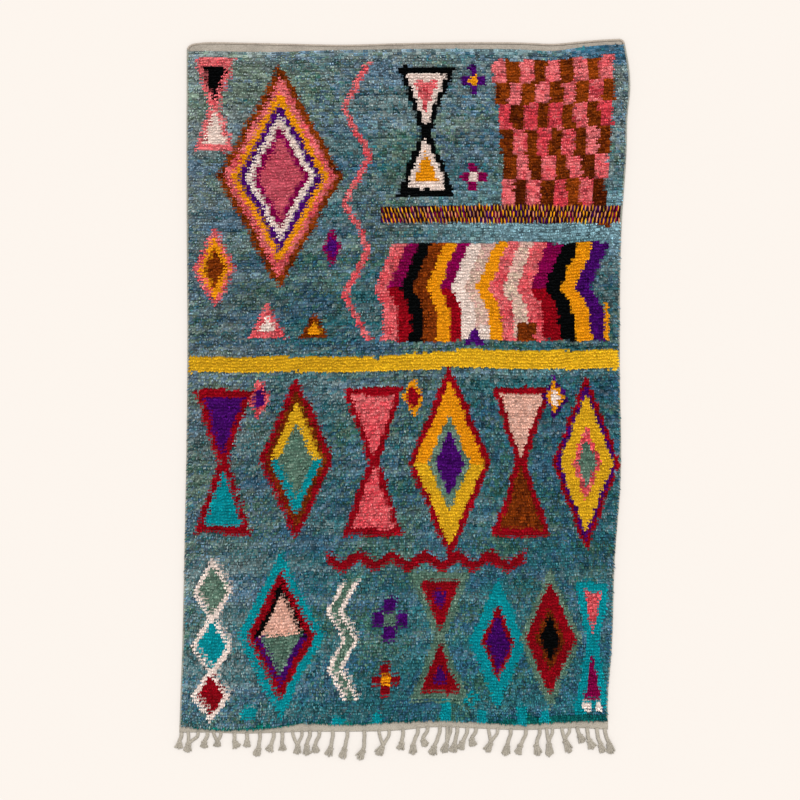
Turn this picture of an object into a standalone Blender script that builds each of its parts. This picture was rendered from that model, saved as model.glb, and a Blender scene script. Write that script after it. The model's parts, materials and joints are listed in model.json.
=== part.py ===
"""A hand-knotted wool pile rug, laid flat and face up.

+Z is up, +Y runs towards the plain heading, and the fringed end is at -Y. The origin lies on the floor
under the middle of the rug. All sizes are in metres.
"""

import math
import random
from collections import namedtuple

import bmesh
import bpy
import numpy as np
from mathutils import Vector, noise

# Driving sizes
PILE_HEIGHT = 0.021
PILE_RIM_HEIGHT = 0.0175
PILE_RIM_SPREAD = 0.016
LUMP_HEIGHT = 0.0026
LUMP_SIZE = 0.13
SWELL_HEIGHT = 0.0014
SWELL_SIZE = 0.55
CREASE_DEPTH = 0.0028
FIELD_START = -1.18
FIELD_END = 1.27
COLUMNS = 34
ROWS = 51
MEETING_GAP = 0.0003
SHARP_ANGLE = math.radians(50)

LOCK_REACH = (0.0005, 0.0045)
LOCK_ROOT_IN = 0.0035
LOCK_HEIGHT = 0.0125
LOCK_DROOP = 0.0020
LOCK_UNEVEN = 0.0008
RIM_CLEARANCE = 0.0006
CORNER_IN = 0.005

GROUND_THICKNESS = 0.0040
END_FOOT_IN = 0.006
WEB_Y = -1.19
STATION_GAP = 0.002
CORD_WIDTH = 0.0090
CORD_HEIGHT = 0.0080
CORD_ARC_STEPS = 5
SLOPE_REACH = 0.01

LEG_WIDTH = 0.0125
LEG_HEIGHT = 0.0070
LEG_END_WIDTH = 0.0105
LEG_STIFFNESS = 1.3
LEG_RINGS = (0.16, 0.42, 0.70)
KNOT_WIDTH = 0.0260
KNOT_HEIGHT = 0.0135
KNOT_TOP_SHARE = 0.68

# The outer edge of the two side cords at some places along the rug, and how much of each cord the pile
# leaves bare there.
SideEdge = namedtuple("SideEdge", "y left right bare_left bare_right")
SIDE_EDGES = (
    SideEdge(-1.200, -0.8145, 0.734, 0.007, 0.002),
    SideEdge(-1.086, -0.8110, 0.734, 0.007, 0.001),
    SideEdge(-0.905, -0.8045, 0.748, 0.006, 0.001),
    SideEdge(-0.580, -0.7970, 0.759, 0.001, 0.001),
    SideEdge(-0.291, -0.7910, 0.780, 0.001, 0.001),
    SideEdge(0.150, -0.7855, 0.777, 0.004, 0.001),
    SideEdge(0.648, -0.7880, 0.785, 0.007, 0.001),
    SideEdge(0.883, -0.7885, 0.801, 0.007, 0.006),
    SideEdge(1.024, -0.7885, 0.805, 0.007, 0.008),
    SideEdge(1.136, -0.7880, 0.815, 0.007, 0.008),
    SideEdge(1.211, -0.7880, 0.809, 0.007, 0.009),
    SideEdge(1.290, -0.7875, 0.794, 0.007, 0.009),
)

# The end of the pile, the outer line of the plain web and the outer line of the heading at some places
# across the rug.
EndEdge = namedtuple("EndEdge", "x web_end pile_start pile_end heading_end")
END_EDGES = (
    EndEdge(-0.815, -1.203, -1.184, 1.262, 1.2850),
    EndEdge(-0.720, -1.203, -1.195, 1.263, 1.2905),
    EndEdge(-0.580, -1.207, -1.197, 1.260, 1.2890),
    EndEdge(-0.440, -1.203, -1.185, 1.260, 1.2860),
    EndEdge(-0.350, -1.200, -1.172, 1.264, 1.2840),
    EndEdge(-0.260, -1.200, -1.178, 1.266, 1.2820),
    EndEdge(-0.020, -1.195, -1.168, 1.270, 1.2870),
    EndEdge(0.100, -1.184, -1.163, 1.271, 1.2895),
    EndEdge(0.250, -1.188, -1.168, 1.271, 1.2910),
    EndEdge(0.440, -1.194, -1.179, 1.268, 1.2890),
    EndEdge(0.530, -1.190, -1.171, 1.263, 1.2850),
    EndEdge(0.640, -1.187, -1.166, 1.276, 1.2940),
    EndEdge(0.730, -1.192, -1.165, 1.285, 1.3010),
    EndEdge(0.815, -1.192, -1.165, 1.287, 1.3035),
)

# Half axes of the rounded corners of the heading's edge cord
Corner = namedtuple("Corner", "across along")
LEFT_CORNER = Corner(0.036, 0.020)
RIGHT_CORNER = Corner(0.018, 0.014)

# How far along the rug the crease runs, and how deep it is there as a share of its depth
CREASE_TRACK = ((-1.20, 0.0), (-0.70, 0.15), (-0.40, 0.8), (0.20, 1.0), (0.95, 0.9), (1.20, 0.2), (1.30, 0.0))

# The tassels from left to right. The roots are the middles of the first and last leg on the web's edge,
# and the two drops are measured down from that edge, to the top of the knot and to the tip of its tuft.
Tassel = namedtuple("Tassel", "first_root last_root legs knot_x knot_drop tip_x tip_drop")
TASSELS = (
    Tassel(-0.806, -0.806, 1, -0.814, 0.030, -0.815, 0.060),
    Tassel(-0.782, -0.746, 2, -0.781, 0.038, -0.788, 0.072),
    Tassel(-0.712, -0.712, 1, -0.723, 0.030, -0.727, 0.057),
    Tassel(-0.690, -0.664, 2, -0.677, 0.028, -0.677, 0.051),
    Tassel(-0.615, -0.615, 1, -0.617, 0.026, -0.604, 0.054),
    Tassel(-0.570, -0.570, 1, -0.569, 0.024, -0.572, 0.050),
    Tassel(-0.523, -0.523, 1, -0.527, 0.046, -0.537, 0.085),
    Tassel(-0.473, -0.473, 1, -0.481, 0.040, -0.492, 0.070),
    Tassel(-0.442, -0.442, 1, -0.443, 0.040, -0.440, 0.067),
    Tassel(-0.405, -0.371, 2, -0.387, 0.046, -0.390, 0.082),
    Tassel(-0.342, -0.342, 1, -0.355, 0.046, -0.354, 0.088),
    Tassel(-0.308, -0.308, 1, -0.325, 0.046, -0.322, 0.080),
    Tassel(-0.260, -0.260, 1, -0.266, 0.052, -0.279, 0.090),
    Tassel(-0.207, -0.207, 1, -0.217, 0.058, -0.227, 0.101),
    Tassel(-0.146, -0.146, 1, -0.148, 0.062, -0.168, 0.103),
    Tassel(-0.093, -0.056, 2, -0.078, 0.050, -0.100, 0.091),
    Tassel(-0.006, -0.006, 1, -0.010, 0.042, -0.018, 0.074),
    Tassel(0.048, 0.048, 1, 0.031, 0.052, 0.029, 0.097),
    Tassel(0.083, 0.083, 1, 0.064, 0.038, 0.078, 0.069),
    Tassel(0.127, 0.127, 1, 0.108, 0.067, 0.097, 0.103),
    Tassel(0.153, 0.166, 2, 0.152, 0.054, 0.138, 0.094),
    Tassel(0.190, 0.190, 1, 0.181, 0.054, 0.170, 0.092),
    Tassel(0.226, 0.226, 1, 0.211, 0.046, 0.197, 0.080),
    Tassel(0.258, 0.258, 1, 0.241, 0.034, 0.249, 0.067),
    Tassel(0.303, 0.336, 2, 0.312, 0.044, 0.293, 0.084),
    Tassel(0.383, 0.383, 1, 0.371, 0.050, 0.363, 0.095),
    Tassel(0.438, 0.438, 1, 0.419, 0.052, 0.406, 0.091),
    Tassel(0.488, 0.488, 1, 0.475, 0.050, 0.482, 0.097),
    Tassel(0.513, 0.534, 2, 0.520, 0.046, 0.524, 0.102),
    Tassel(0.568, 0.596, 2, 0.578, 0.038, 0.598, 0.091),
    Tassel(0.624, 0.624, 1, 0.630, 0.024, 0.645, 0.054),
    Tassel(0.659, 0.659, 1, 0.665, 0.040, 0.681, 0.077),
    Tassel(0.694, 0.694, 1, 0.706, 0.052, 0.719, 0.088),
    Tassel(0.723, 0.723, 1, 0.736, 0.044, 0.749, 0.090),
)

Finish = namedtuple("Finish", "name colour roughness")
PILE_WOOL = Finish("pile wool", (0.105, 0.180, 0.195, 1.0), 0.95)
UNDYED_WEAVE = Finish("undyed weave", (0.330, 0.290, 0.245, 1.0), 0.90)
WRAPPED_WOOL = Finish("wrapped wool", (0.360, 0.325, 0.290, 1.0), 0.92)
WARP_YARN = Finish("warp yarn", (0.440, 0.390, 0.340, 1.0), 0.90)


def clear_scene():
    for obj in list(bpy.data.objects):
        bpy.data.objects.remove(obj, do_unlink=True)


def principled(finish):
    """A plain Principled material of the finish."""
    material = bpy.data.materials.new(finish.name)
    material.use_nodes = True
    shader = material.node_tree.nodes["Principled BSDF"]
    shader.inputs["Base Color"].default_value = finish.colour
    shader.inputs["Roughness"].default_value = finish.roughness
    shader.inputs["Metallic"].default_value = 0.0
    material.diffuse_color = finish.colour
    return material


def solid_from(name, bm, finish):
    """An object of the closed mesh, with its faces pointing out."""
    bmesh.ops.recalc_face_normals(bm, faces=bm.faces)
    mesh = bpy.data.meshes.new(name)
    bm.to_mesh(mesh)
    bm.free()
    mesh.materials.append(principled(finish))
    mesh.shade_smooth()
    mesh.set_sharp_from_angle(angle=SHARP_ANGLE)
    obj = bpy.data.objects.new(name, mesh)
    bpy.context.scene.collection.objects.link(obj)
    return obj


def along(rows, key, column, at):
    """The column's value on the smooth curve through the table's rows, at a value of the key column."""
    keys = np.array([getattr(row, key) for row in rows])
    values = np.array([getattr(row, column) for row in rows])
    slopes = np.gradient(values, keys)
    at = min(max(at, keys[0]), keys[-1])
    i = min(int(np.searchsorted(keys, at, side="right")) - 1, len(keys) - 2)
    span = keys[i + 1] - keys[i]
    t = (at - keys[i]) / span
    start = (2 * t**3 - 3 * t**2 + 1) * values[i] + (t**3 - 2 * t**2 + t) * span * slopes[i]
    end = (3 * t**2 - 2 * t**3) * values[i + 1] + (t**3 - t**2) * span * slopes[i + 1]
    return float(start + end)


def side(column, y):
    return along(SIDE_EDGES, "y", column, y)


def end(column, x):
    return along(END_EDGES, "x", column, x)


def blend(a, b, share):
    return a + (b - a) * share


def field_point(u, v, side_in, end_in):
    """The point a share u across and v along the pile field, with its sides and ends drawn in."""
    y = blend(FIELD_START, FIELD_END, v)
    x = blend(side("left", y), side("right", y), u)
    y = blend(end("pile_start", x) + end_in, end("pile_end", x) - end_in, v)
    x = blend(side("left", y) + side_in, side("right", y) - side_in, u)
    return x, y


def rim_order():
    """The grid places round the field's boundary, anticlockwise from the corner at -X and -Y."""
    lower = [(i, 0) for i in range(COLUMNS)]
    right = [(COLUMNS, j) for j in range(ROWS)]
    upper = [(i, ROWS) for i in range(COLUMNS, 0, -1)]
    left = [(0, j) for j in range(ROWS, 0, -1)]
    return lower + right + upper + left


def foot_point(i, j):
    """The corner of the body's foot on the floor at a boundary place, beside its cord, heading or web."""
    return field_point(i / COLUMNS, j / ROWS, CORD_WIDTH + MEETING_GAP, END_FOOT_IN)


def pile_top(x, y, u):
    """The height of the pile: lumpy, swelling softly, with the crease along the middle."""
    lumps = LUMP_HEIGHT * noise.noise(Vector((x / LUMP_SIZE, y / LUMP_SIZE, 0.5)))
    swell = SWELL_HEIGHT * noise.noise(Vector((x / SWELL_SIZE, y / SWELL_SIZE, 4.5)))
    reach = np.interp(y, [place for place, _ in CREASE_TRACK], [share for _, share in CREASE_TRACK])
    trough = CREASE_DEPTH * float(reach) * math.exp(-(((u - 0.5) * COLUMNS) ** 2))
    return PILE_HEIGHT + lumps + swell - trough


def rim_point(i, j, outward):
    """A point of the pile's rim at a boundary place, which may lie between two columns or rows."""
    u, v = i / COLUMNS, j / ROWS
    x, y = field_point(u, v, 0.0, 0.0)
    if u in (0, 1):
        bare = side("bare_left" if u == 0 else "bare_right", y)
        x += (bare - outward) * (1 if u == 0 else -1)
    if v in (0, 1):
        y += -outward * (1 if v == 0 else -1)
    return rounded_off(x, y, i, j)


def rounded_off(x, y, i, j):
    """The point moved inwards if it is one of the four corners of the field."""
    if i in (0, COLUMNS) and j in (0, ROWS):
        x += CORNER_IN if i == 0 else -CORNER_IN
        y += CORNER_IN if j == 0 else -CORNER_IN
    return x, y


def rim_clearance(i):
    """The height of the rim's underside over the cord or the flat weave beneath it."""
    beneath = CORD_HEIGHT if min(i, COLUMNS - i) < 2 else GROUND_THICKNESS
    return beneath + RIM_CLEARANCE


def rug_body():
    """The pile and its ground weave: a flat slab, lumpy on top, with a lock of tufts at each rim place."""
    rng = random.Random(11)
    bm = bmesh.new()
    top = {}
    for j in range(ROWS + 1):
        for i in range(COLUMNS + 1):
            u, v = i / COLUMNS, j / ROWS
            x, y = field_point(u, v, PILE_RIM_SPREAD, PILE_RIM_SPREAD)
            x, y = rounded_off(x, y, i, j)
            on_rim = i in (0, COLUMNS) or j in (0, ROWS)
            sink = PILE_HEIGHT - PILE_RIM_HEIGHT if on_rim else 0.0
            top[i, j] = bm.verts.new((x, y, pile_top(x, y, u) - sink))
    for j in range(ROWS):
        for i in range(COLUMNS):
            bm.faces.new((top[i, j], top[i + 1, j], top[i + 1, j + 1], top[i, j + 1]))

    places = rim_order()
    count = len(places)
    shoulders = [top[place] for place in places]
    roots = []
    tips = []
    necks = []
    feet = []
    for n, (i, j) in enumerate(places):
        next_i, next_j = places[(n + 1) % count]
        tip = rim_point((i + next_i) / 2, (j + next_j) / 2, rng.uniform(*LOCK_REACH))
        height = LOCK_HEIGHT + rng.uniform(-LOCK_UNEVEN, LOCK_UNEVEN)
        roots.append(bm.verts.new((*rim_point(i, j, -LOCK_ROOT_IN), height)))
        tips.append(bm.verts.new((*tip, height - LOCK_DROOP)))
        necks.append(bm.verts.new((*foot_point(i, j), rim_clearance(i))))
        feet.append(bm.verts.new((*foot_point(i, j), 0.0)))
    for n in range(count):
        m = (n + 1) % count
        for inner in (shoulders, necks):
            bm.faces.new((inner[n], roots[n], tips[n]))
            bm.faces.new((inner[n], tips[n], inner[m]))
            bm.faces.new((inner[m], tips[n], roots[m]))
        bm.faces.new((necks[n], feet[n], feet[m], necks[m]))
    close_underside(bm, feet)
    return solid_from("rug_body", bm, PILE_WOOL)


def close_underside(bm, feet):
    """Flat faces under the body: one from side to side in each row, and a fan at each end."""
    lower = feet[: COLUMNS + 1]
    right = feet[COLUMNS : COLUMNS + ROWS + 1]
    upper = feet[COLUMNS + ROWS : 2 * COLUMNS + ROWS + 1]
    left = feet[2 * COLUMNS + ROWS :] + feet[:1]
    left.reverse()
    for j in range(1, ROWS - 1):
        bm.faces.new((left[j], left[j + 1], right[j + 1], right[j]))
    middle = COLUMNS // 2
    for n in range(COLUMNS):
        bm.faces.new((lower[n], lower[n + 1], left[1] if n < middle else right[1]))
        bm.faces.new((upper[n], upper[n + 1], right[ROWS - 1] if n < middle else left[ROWS - 1]))
    bm.faces.new((lower[middle], left[1], right[1]))
    bm.faces.new((upper[middle], right[ROWS - 1], left[ROWS - 1]))


def join_rings(bm, first, second):
    """The quads between two rings of as many points."""
    for n in range(len(first)):
        m = (n + 1) % len(first)
        bm.faces.new((first[n], first[m], second[m], second[n]))


def cord_along(name, path, normals):
    """A six-sided cord on the floor along a path, with its flat sides under and over it."""
    # Each corner's place across and up, as shares of the cord's width and height
    section = ((0.5, 0.5), (0.25, 1.0), (-0.25, 1.0), (-0.5, 0.5), (-0.25, 0.0), (0.25, 0.0))
    bm = bmesh.new()
    rings = []
    for (x, y), (nx, ny) in zip(path, normals):
        ring = []
        for across, up in section:
            reach = across * CORD_WIDTH
            ring.append(bm.verts.new((x + nx * reach, y + ny * reach, up * CORD_HEIGHT)))
        rings.append(ring)
    for first, second in zip(rings, rings[1:]):
        join_rings(bm, first, second)
    bm.faces.new(rings[0])
    bm.faces.new(rings[-1])
    return solid_from(name, bm, WRAPPED_WOOL)


def corner_centres():
    """The middles of the two rounded corners that the heading's cord turns round."""
    centres = []
    for column, corner, way in (("left", LEFT_CORNER, 1), ("right", RIGHT_CORNER, -1)):
        reach = CORD_WIDTH / 2 + corner.across
        x = END_EDGES[0 if way == 1 else -1].x + way * reach
        y = end("heading_end", x) - CORD_WIDTH / 2 - corner.along
        centres.append((side(column, y) + way * reach, y))
    return centres


def heading_route():
    """The middle line of the heading's cord from the left corner to the right one, with its normals."""
    (left_x, left_y), (right_x, right_y) = corner_centres()
    path = []
    normals = []
    add_corner(path, normals, (left_x, left_y), LEFT_CORNER, math.pi)
    for i in range(1, COLUMNS):
        x = foot_point(i, ROWS)[0]
        if left_x + SLOPE_REACH < x < right_x - SLOPE_REACH:
            rise = end("heading_end", x + SLOPE_REACH) - end("heading_end", x - SLOPE_REACH)
            slope = rise / (2 * SLOPE_REACH)
            path.append((x, end("heading_end", x) - CORD_WIDTH / 2))
            normals.append(Vector((-slope, 1.0)))
    add_corner(path, normals, (right_x, right_y), RIGHT_CORNER, math.pi / 2)
    return path, [normal.normalized() for normal in normals]


def add_corner(path, normals, centre, corner, first_angle):
    """Adds a quarter turn round a corner's centre, clockwise from its first angle, to a route."""
    for step in range(CORD_ARC_STEPS + 1):
        angle = first_angle - step * math.pi / 2 / CORD_ARC_STEPS
        cosine, sine = math.cos(angle), math.sin(angle)
        path.append((centre[0] + corner.across * cosine, centre[1] + corner.along * sine))
        normals.append(Vector((cosine / corner.across, sine / corner.along)))


def heading_cord():
    path, normals = heading_route()
    return cord_along("heading_cord", path, normals)


def heading():
    """The plain woven strip between the pile and the heading's cord."""
    path, normals = heading_route()
    inset = CORD_WIDTH / 2 + MEETING_GAP
    feet = [foot_point(i, ROWS) for i in range(COLUMNS + 1)]
    feet_x = [x for x, _ in feet]
    feet_y = [y for _, y in feet]
    bm = bmesh.new()
    rings = []
    for (x, y), normal in zip(path, normals):
        outer_x = x - normal.x * inset
        outer_y = y - normal.y * inset
        inner_y = float(np.interp(outer_x, feet_x, feet_y)) + MEETING_GAP
        rings.append(
            [
                bm.verts.new((outer_x, inner_y, 0.0)),
                bm.verts.new((outer_x, outer_y, 0.0)),
                bm.verts.new((outer_x, outer_y, GROUND_THICKNESS)),
                bm.verts.new((outer_x, inner_y, GROUND_THICKNESS)),
            ]
        )
    for first, second in zip(rings, rings[1:]):
        join_rings(bm, first, second)
    bm.faces.new(rings[0])
    bm.faces.new(rings[-1])
    return solid_from("heading", bm, UNDYED_WEAVE)


def selvedge(column):
    """The overcast cord along one side, from the web to the heading's cord."""
    way = 1 if column == "left" else -1
    i = 0 if column == "left" else COLUMNS
    centre_y = corner_centres()[0 if column == "left" else 1][1]
    stations = [foot_point(i, j)[1] for j in range(ROWS + 1)] + [centre_y - MEETING_GAP]
    path = [(side(column, y) + way * CORD_WIDTH / 2, y) for y in stations]
    return cord_along(f"selvedge_{column}", path, [Vector((1.0, 0.0))] * len(path))


def leg_centres(tassel):
    """The middles of a tassel's legs on the web's edge."""
    if tassel.legs == 1:
        return [tassel.first_root]
    step = (tassel.last_root - tassel.first_root) / (tassel.legs - 1)
    return [tassel.first_root + n * step for n in range(tassel.legs)]


def web_stations():
    """The places across the web where its faces meet: both sides of each leg, and the body's columns."""
    roots = []
    for tassel in TASSELS:
        for centre in leg_centres(tassel):
            roots.append((centre - LEG_WIDTH / 2, centre + LEG_WIDTH / 2))
    stations = {side("left", WEB_Y), side("right", WEB_Y)}
    for pair in roots:
        stations.update(pair)
    for i in range(COLUMNS + 1):
        x = foot_point(i, 0)[0]
        clear = min(abs(x - other) for other in stations) > STATION_GAP
        if clear and not any(a < x < b for a, b in roots):
            stations.add(x)
    return sorted(stations), roots


def tassel_section(bm, centre, across, width, height, legs):
    """The points of a knot's or tuft's ring: a row on the floor and a narrower row over it."""
    rows = []
    for share, up in ((1.0, 0.0), (KNOT_TOP_SHARE, height)):
        row = []
        for n in range(legs + 1):
            reach = (n / legs - 0.5) * width * share
            row.append(bm.verts.new((centre.x + across.x * reach, centre.y + across.y * reach, up)))
        rows.append(row)
    return rows


def add_tassel(bm, tassel, root_rings, edge_y):
    """One tassel: its legs from the web's edge into the knot, and the tuft under the knot."""
    knot = Vector((tassel.knot_x, edge_y - tassel.knot_drop))
    tip = Vector((tassel.tip_x, edge_y - tassel.tip_drop))
    axis = (tip - knot).normalized()
    across = Vector((-axis.y, axis.x))
    length = (tip - knot).length
    entry_width = LEG_END_WIDTH * tassel.legs
    belly = max(KNOT_WIDTH, entry_width)
    # Each ring's share of the length, its width and its height
    profile = (
        (0.0, entry_width, LEG_HEIGHT),
        (0.20, belly, KNOT_HEIGHT),
        (0.46, belly * 0.96, KNOT_HEIGHT * 0.95),
        (0.62, belly * 0.72, KNOT_HEIGHT * 0.66),
        (0.86, belly * 0.92, KNOT_HEIGHT * 0.60),
        (1.0, belly * 0.66, KNOT_HEIGHT * 0.30),
    )
    sections = [
        tassel_section(bm, knot + axis * length * share, across, width, height, tassel.legs)
        for share, width, height in profile
    ]
    for (low, high), (next_low, next_high) in zip(sections, sections[1:]):
        join_rings(bm, low + high[::-1], next_low + next_high[::-1])
    low, high = sections[-1]
    bm.faces.new(low + high[::-1])

    low, high = sections[0]
    for n, centre in enumerate(leg_centres(tassel)):
        start = Vector((centre, edge_y))
        finish = knot + across * ((n + 0.5) / tassel.legs - 0.5) * entry_width
        chord = finish - start
        leaving = Vector((0.0, -1.0)) * chord.length * LEG_STIFFNESS
        arriving = (axis + chord.normalized()).normalized() * chord.length
        ring = root_rings[n]
        for t in LEG_RINGS:
            place = (
                start * (2 * t**3 - 3 * t**2 + 1)
                + leaving * (t**3 - 2 * t**2 + t)
                + finish * (3 * t**2 - 2 * t**3)
                + arriving * (t**3 - t**2)
            )
            heading_to = (
                start * (6 * t**2 - 6 * t)
                + leaving * (3 * t**2 - 4 * t + 1)
                + finish * (6 * t - 6 * t**2)
                + arriving * (3 * t**2 - 2 * t)
            ).normalized()
            sideways = Vector((-heading_to.y, heading_to.x))
            width = blend(LEG_WIDTH, LEG_END_WIDTH, t)
            rows = tassel_section(bm, place, sideways, width, LEG_HEIGHT, 1)
            next_ring = rows[0] + rows[1][::-1]
            join_rings(bm, ring, next_ring)
            ring = next_ring
        join_rings(bm, ring, [low[n], low[n + 1], high[n + 1], high[n]])


def fringe():
    """The plain web strip under the bottom end of the pile, with the tassels rooted in its outer edge."""
    stations, roots = web_stations()
    feet = [foot_point(i, 0) for i in range(COLUMNS + 1)]
    feet_x = [x for x, _ in feet]
    feet_y = [y for _, y in feet]
    bm = bmesh.new()
    columns = {}
    for x in stations:
        back = float(np.interp(x, feet_x, feet_y)) - MEETING_GAP
        front = end("web_end", x)
        columns[x] = [
            bm.verts.new((x, front, 0.0)),
            bm.verts.new((x, front, GROUND_THICKNESS)),
            bm.verts.new((x, back, GROUND_THICKNESS)),
            bm.verts.new((x, back, 0.0)),
        ]
    for left, right in zip(stations, stations[1:]):
        a, b = columns[left], columns[right]
        bm.faces.new((a[1], b[1], b[2], a[2]))
        bm.faces.new((a[2], b[2], b[3], a[3]))
        bm.faces.new((a[3], b[3], b[0], a[0]))
        if (left, right) not in roots:
            bm.faces.new((a[0], b[0], b[1], a[1]))
    bm.faces.new(columns[stations[0]])
    bm.faces.new(columns[stations[-1]])
    for tassel in TASSELS:
        centres = leg_centres(tassel)
        edge_y = end("web_end", sum(centres) / len(centres))
        rings = []
        for centre in centres:
            a = columns[centre - LEG_WIDTH / 2]
            b = columns[centre + LEG_WIDTH / 2]
            rings.append([a[0], b[0], b[1], a[1]])
        add_tassel(bm, tassel, rings, edge_y)
    return solid_from("fringe", bm, WARP_YARN)


def main():
    clear_scene()
    rug_body()
    heading()
    heading_cord()
    selvedge("left")
    selvedge("right")
    fringe()


main()
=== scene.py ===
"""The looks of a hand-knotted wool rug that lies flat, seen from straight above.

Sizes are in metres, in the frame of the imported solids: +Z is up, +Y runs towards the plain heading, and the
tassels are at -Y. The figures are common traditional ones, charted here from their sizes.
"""

import json
import logging
import math
import random
from dataclasses import dataclass
from enum import Enum

import bpy
import numpy as np
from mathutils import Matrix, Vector, noise

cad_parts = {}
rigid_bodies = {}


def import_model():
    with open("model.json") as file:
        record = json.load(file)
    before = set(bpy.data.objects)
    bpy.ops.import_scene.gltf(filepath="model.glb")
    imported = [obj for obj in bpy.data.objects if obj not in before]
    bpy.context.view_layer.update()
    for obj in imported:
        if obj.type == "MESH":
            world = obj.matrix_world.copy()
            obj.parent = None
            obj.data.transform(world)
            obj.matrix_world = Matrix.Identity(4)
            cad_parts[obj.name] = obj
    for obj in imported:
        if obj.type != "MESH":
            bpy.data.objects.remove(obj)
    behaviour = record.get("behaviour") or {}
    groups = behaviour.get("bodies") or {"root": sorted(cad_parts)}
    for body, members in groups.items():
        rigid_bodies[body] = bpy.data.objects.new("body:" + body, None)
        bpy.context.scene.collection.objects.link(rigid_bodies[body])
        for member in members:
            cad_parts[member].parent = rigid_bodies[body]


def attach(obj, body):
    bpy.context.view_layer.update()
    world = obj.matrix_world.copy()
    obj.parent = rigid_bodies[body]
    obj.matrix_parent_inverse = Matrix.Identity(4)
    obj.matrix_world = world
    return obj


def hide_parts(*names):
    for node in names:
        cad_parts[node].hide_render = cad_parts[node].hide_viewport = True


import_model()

LOG = logging.getLogger("rug")
SEED = 7
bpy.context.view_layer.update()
BODY = "root"
BAKE_MAP = "OFBake"
ATTRIBUTE_FIELDS = {"FLOAT": "value", "FLOAT_VECTOR": "vector", "FLOAT_COLOR": "color"}
# the pile's attributes: the height in the pile, which the finish turns into painted shade and light, the
# thread's tone and the wool's colour
PILE_LAYERS = ("rise", "strand", "wool")
MIDDLE_TONE = 0.5
HALF_TURN = math.pi
FULL_TURN = 2 * math.pi


class Slot(Enum):
    """The record's material slots."""

    PILE = "pile"
    HEADING = "heading_weave"
    EDGE = "edge_cord"
    WARP = "warp_yarn"


class Column(Enum):
    """The two long sides of the rug, with the way inwards from each."""

    LEFT = ("left", 1)
    RIGHT = ("right", -1)

    @property
    def side(self) -> str:
        """The side's name in the outline's tables."""
        return self.value[0]

    @property
    def inwards(self) -> int:
        """The sign of X that leads from this side into the rug."""
        return self.value[1]


def linear(code: str) -> tuple[float, float, float]:
    """The linear colour of a written sRGB one.

    Args:
        code: six hexadecimal digits after a hash sign.

    Returns:
        Red, green and blue from 0 to 1, linear.
    """
    shares = [int(code[place : place + 2], 16) / 255 for place in (1, 3, 5)]
    return tuple(s / 12.92 if s <= 0.04045 else ((s + 0.055) / 1.055) ** 2.4 for s in shares)


class Wool(Enum):
    """The wools of the pile: each one's main shade, the shade it drifts to, and its unevenness."""

    TEAL = ("#2c6971", "#7e8886", 0.42)
    STEEL = ("#305e76", "#748795", 0.42)
    SAGE = ("#386558", "#7d8c7d", 0.42)
    PALE_TEAL = ("#84a8b2", "#84a8b2", 0.40)
    GREY_GREEN = ("#4c6c5c", "#7a907f", 0.26)
    SEA_GREEN = ("#064f52", "#14806e", 0.26)
    TURQUOISE = ("#03848f", "#0b9aa0", 0.14)
    YELLOW = ("#cb9c1b", "#eab922", 0.08)
    GOLD = ("#de900b", "#ec9c12", 0.09)
    RED = ("#7a040f", "#a8051a", 0.14)
    RUST = ("#571e03", "#92400c", 0.26)
    ROSE = ("#bb4858", "#cc606d", 0.16)
    PINK = ("#cf404b", "#e47a7b", 0.26)
    CREAM = ("#d5a18d", "#e1b8a8", 0.16)
    PEACH = ("#d8814e", "#e39c68", 0.20)
    BEIGE = ("#d8c4ac", "#d2a49c", 0.18)
    WHITE = ("#ecdad0", "#e2ccc0", 0.12)
    BLACK = ("#010303", "#040506", 0.30)
    PURPLE = ("#3b0457", "#500c72", 0.24)
    PLUM = ("#25031a", "#3c0620", 0.30)
    MAGENTA = ("#78023a", "#8f0253", 0.16)

    @property
    def main(self) -> np.ndarray:
        """The main shade, linear."""
        return np.array(linear(self.value[0]))

    @property
    def drift(self) -> np.ndarray:
        """The shade that the wool drifts to, linear."""
        return np.array(linear(self.value[1]))

    @property
    def unevenness(self) -> float:
        """How much one knot's brightness may differ from the next one's."""
        return self.value[2]


WOOLS = tuple(Wool)


@dataclass(frozen=True)
class Drift:
    """Soft noise of some strength, with the size of its lumps across and along, and its layer."""

    strength: float
    across: float
    along: float
    layer: float

    def at(self, x: np.ndarray, y: np.ndarray) -> np.ndarray:
        """The noise at some places of the rug, from about -1 to 1 times the strength."""
        places = zip(x.ravel() / self.across, y.ravel() / self.along)
        flat = [noise.noise(Vector((a, b, self.layer))) for a, b in places]
        return self.strength * np.array(flat).reshape(x.shape)


def ramp(places: np.ndarray, start: float, run: float) -> np.ndarray:
    """A share that grows from 0 at the start to 1 a run further on, which may be negative."""
    return np.clip((places - start) / run, 0, 1)


def hermite(t: np.ndarray | float) -> tuple[np.ndarray | float, ...]:
    """The weights of a smooth span's start, its slope there, its finish and its slope there."""
    return 2 * t**3 - 3 * t**2 + 1, t**3 - 2 * t**2 + t, 3 * t**2 - 2 * t**3, t**3 - t**2


def read_table(table: tuple[object, ...], key: str, column: str, where: np.ndarray) -> np.ndarray:
    """Reads a column of a table on the smooth curve through its rows, held at its ends.

    Args:
        table: the rows.
        key: the name of the column that says where each row lies.
        column: the name of the column to read.
        where: the places to read it at.

    Returns:
        A value for each of the places.
    """
    keys = np.array([getattr(row, key) for row in table])
    values = np.array([getattr(row, column) for row in table])
    slopes = np.gradient(values, keys)
    where = np.clip(np.asarray(where, float), keys[0], keys[-1])
    i = np.minimum(np.searchsorted(keys, where, side="right") - 1, len(keys) - 2)
    span = keys[i + 1] - keys[i]
    at_start, leaving, at_end, arriving = hermite((where - keys[i]) / span)
    start = at_start * values[i] + leaving * span * slopes[i]
    return start + (at_end * values[i + 1] + arriving * span * slopes[i + 1])


@dataclass(frozen=True)
class SideEdge:
    """The outer edges of the side cords at a place along the rug, and how much of each is bare."""

    y: float
    left: float
    right: float
    bare_left: float
    bare_right: float


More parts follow.
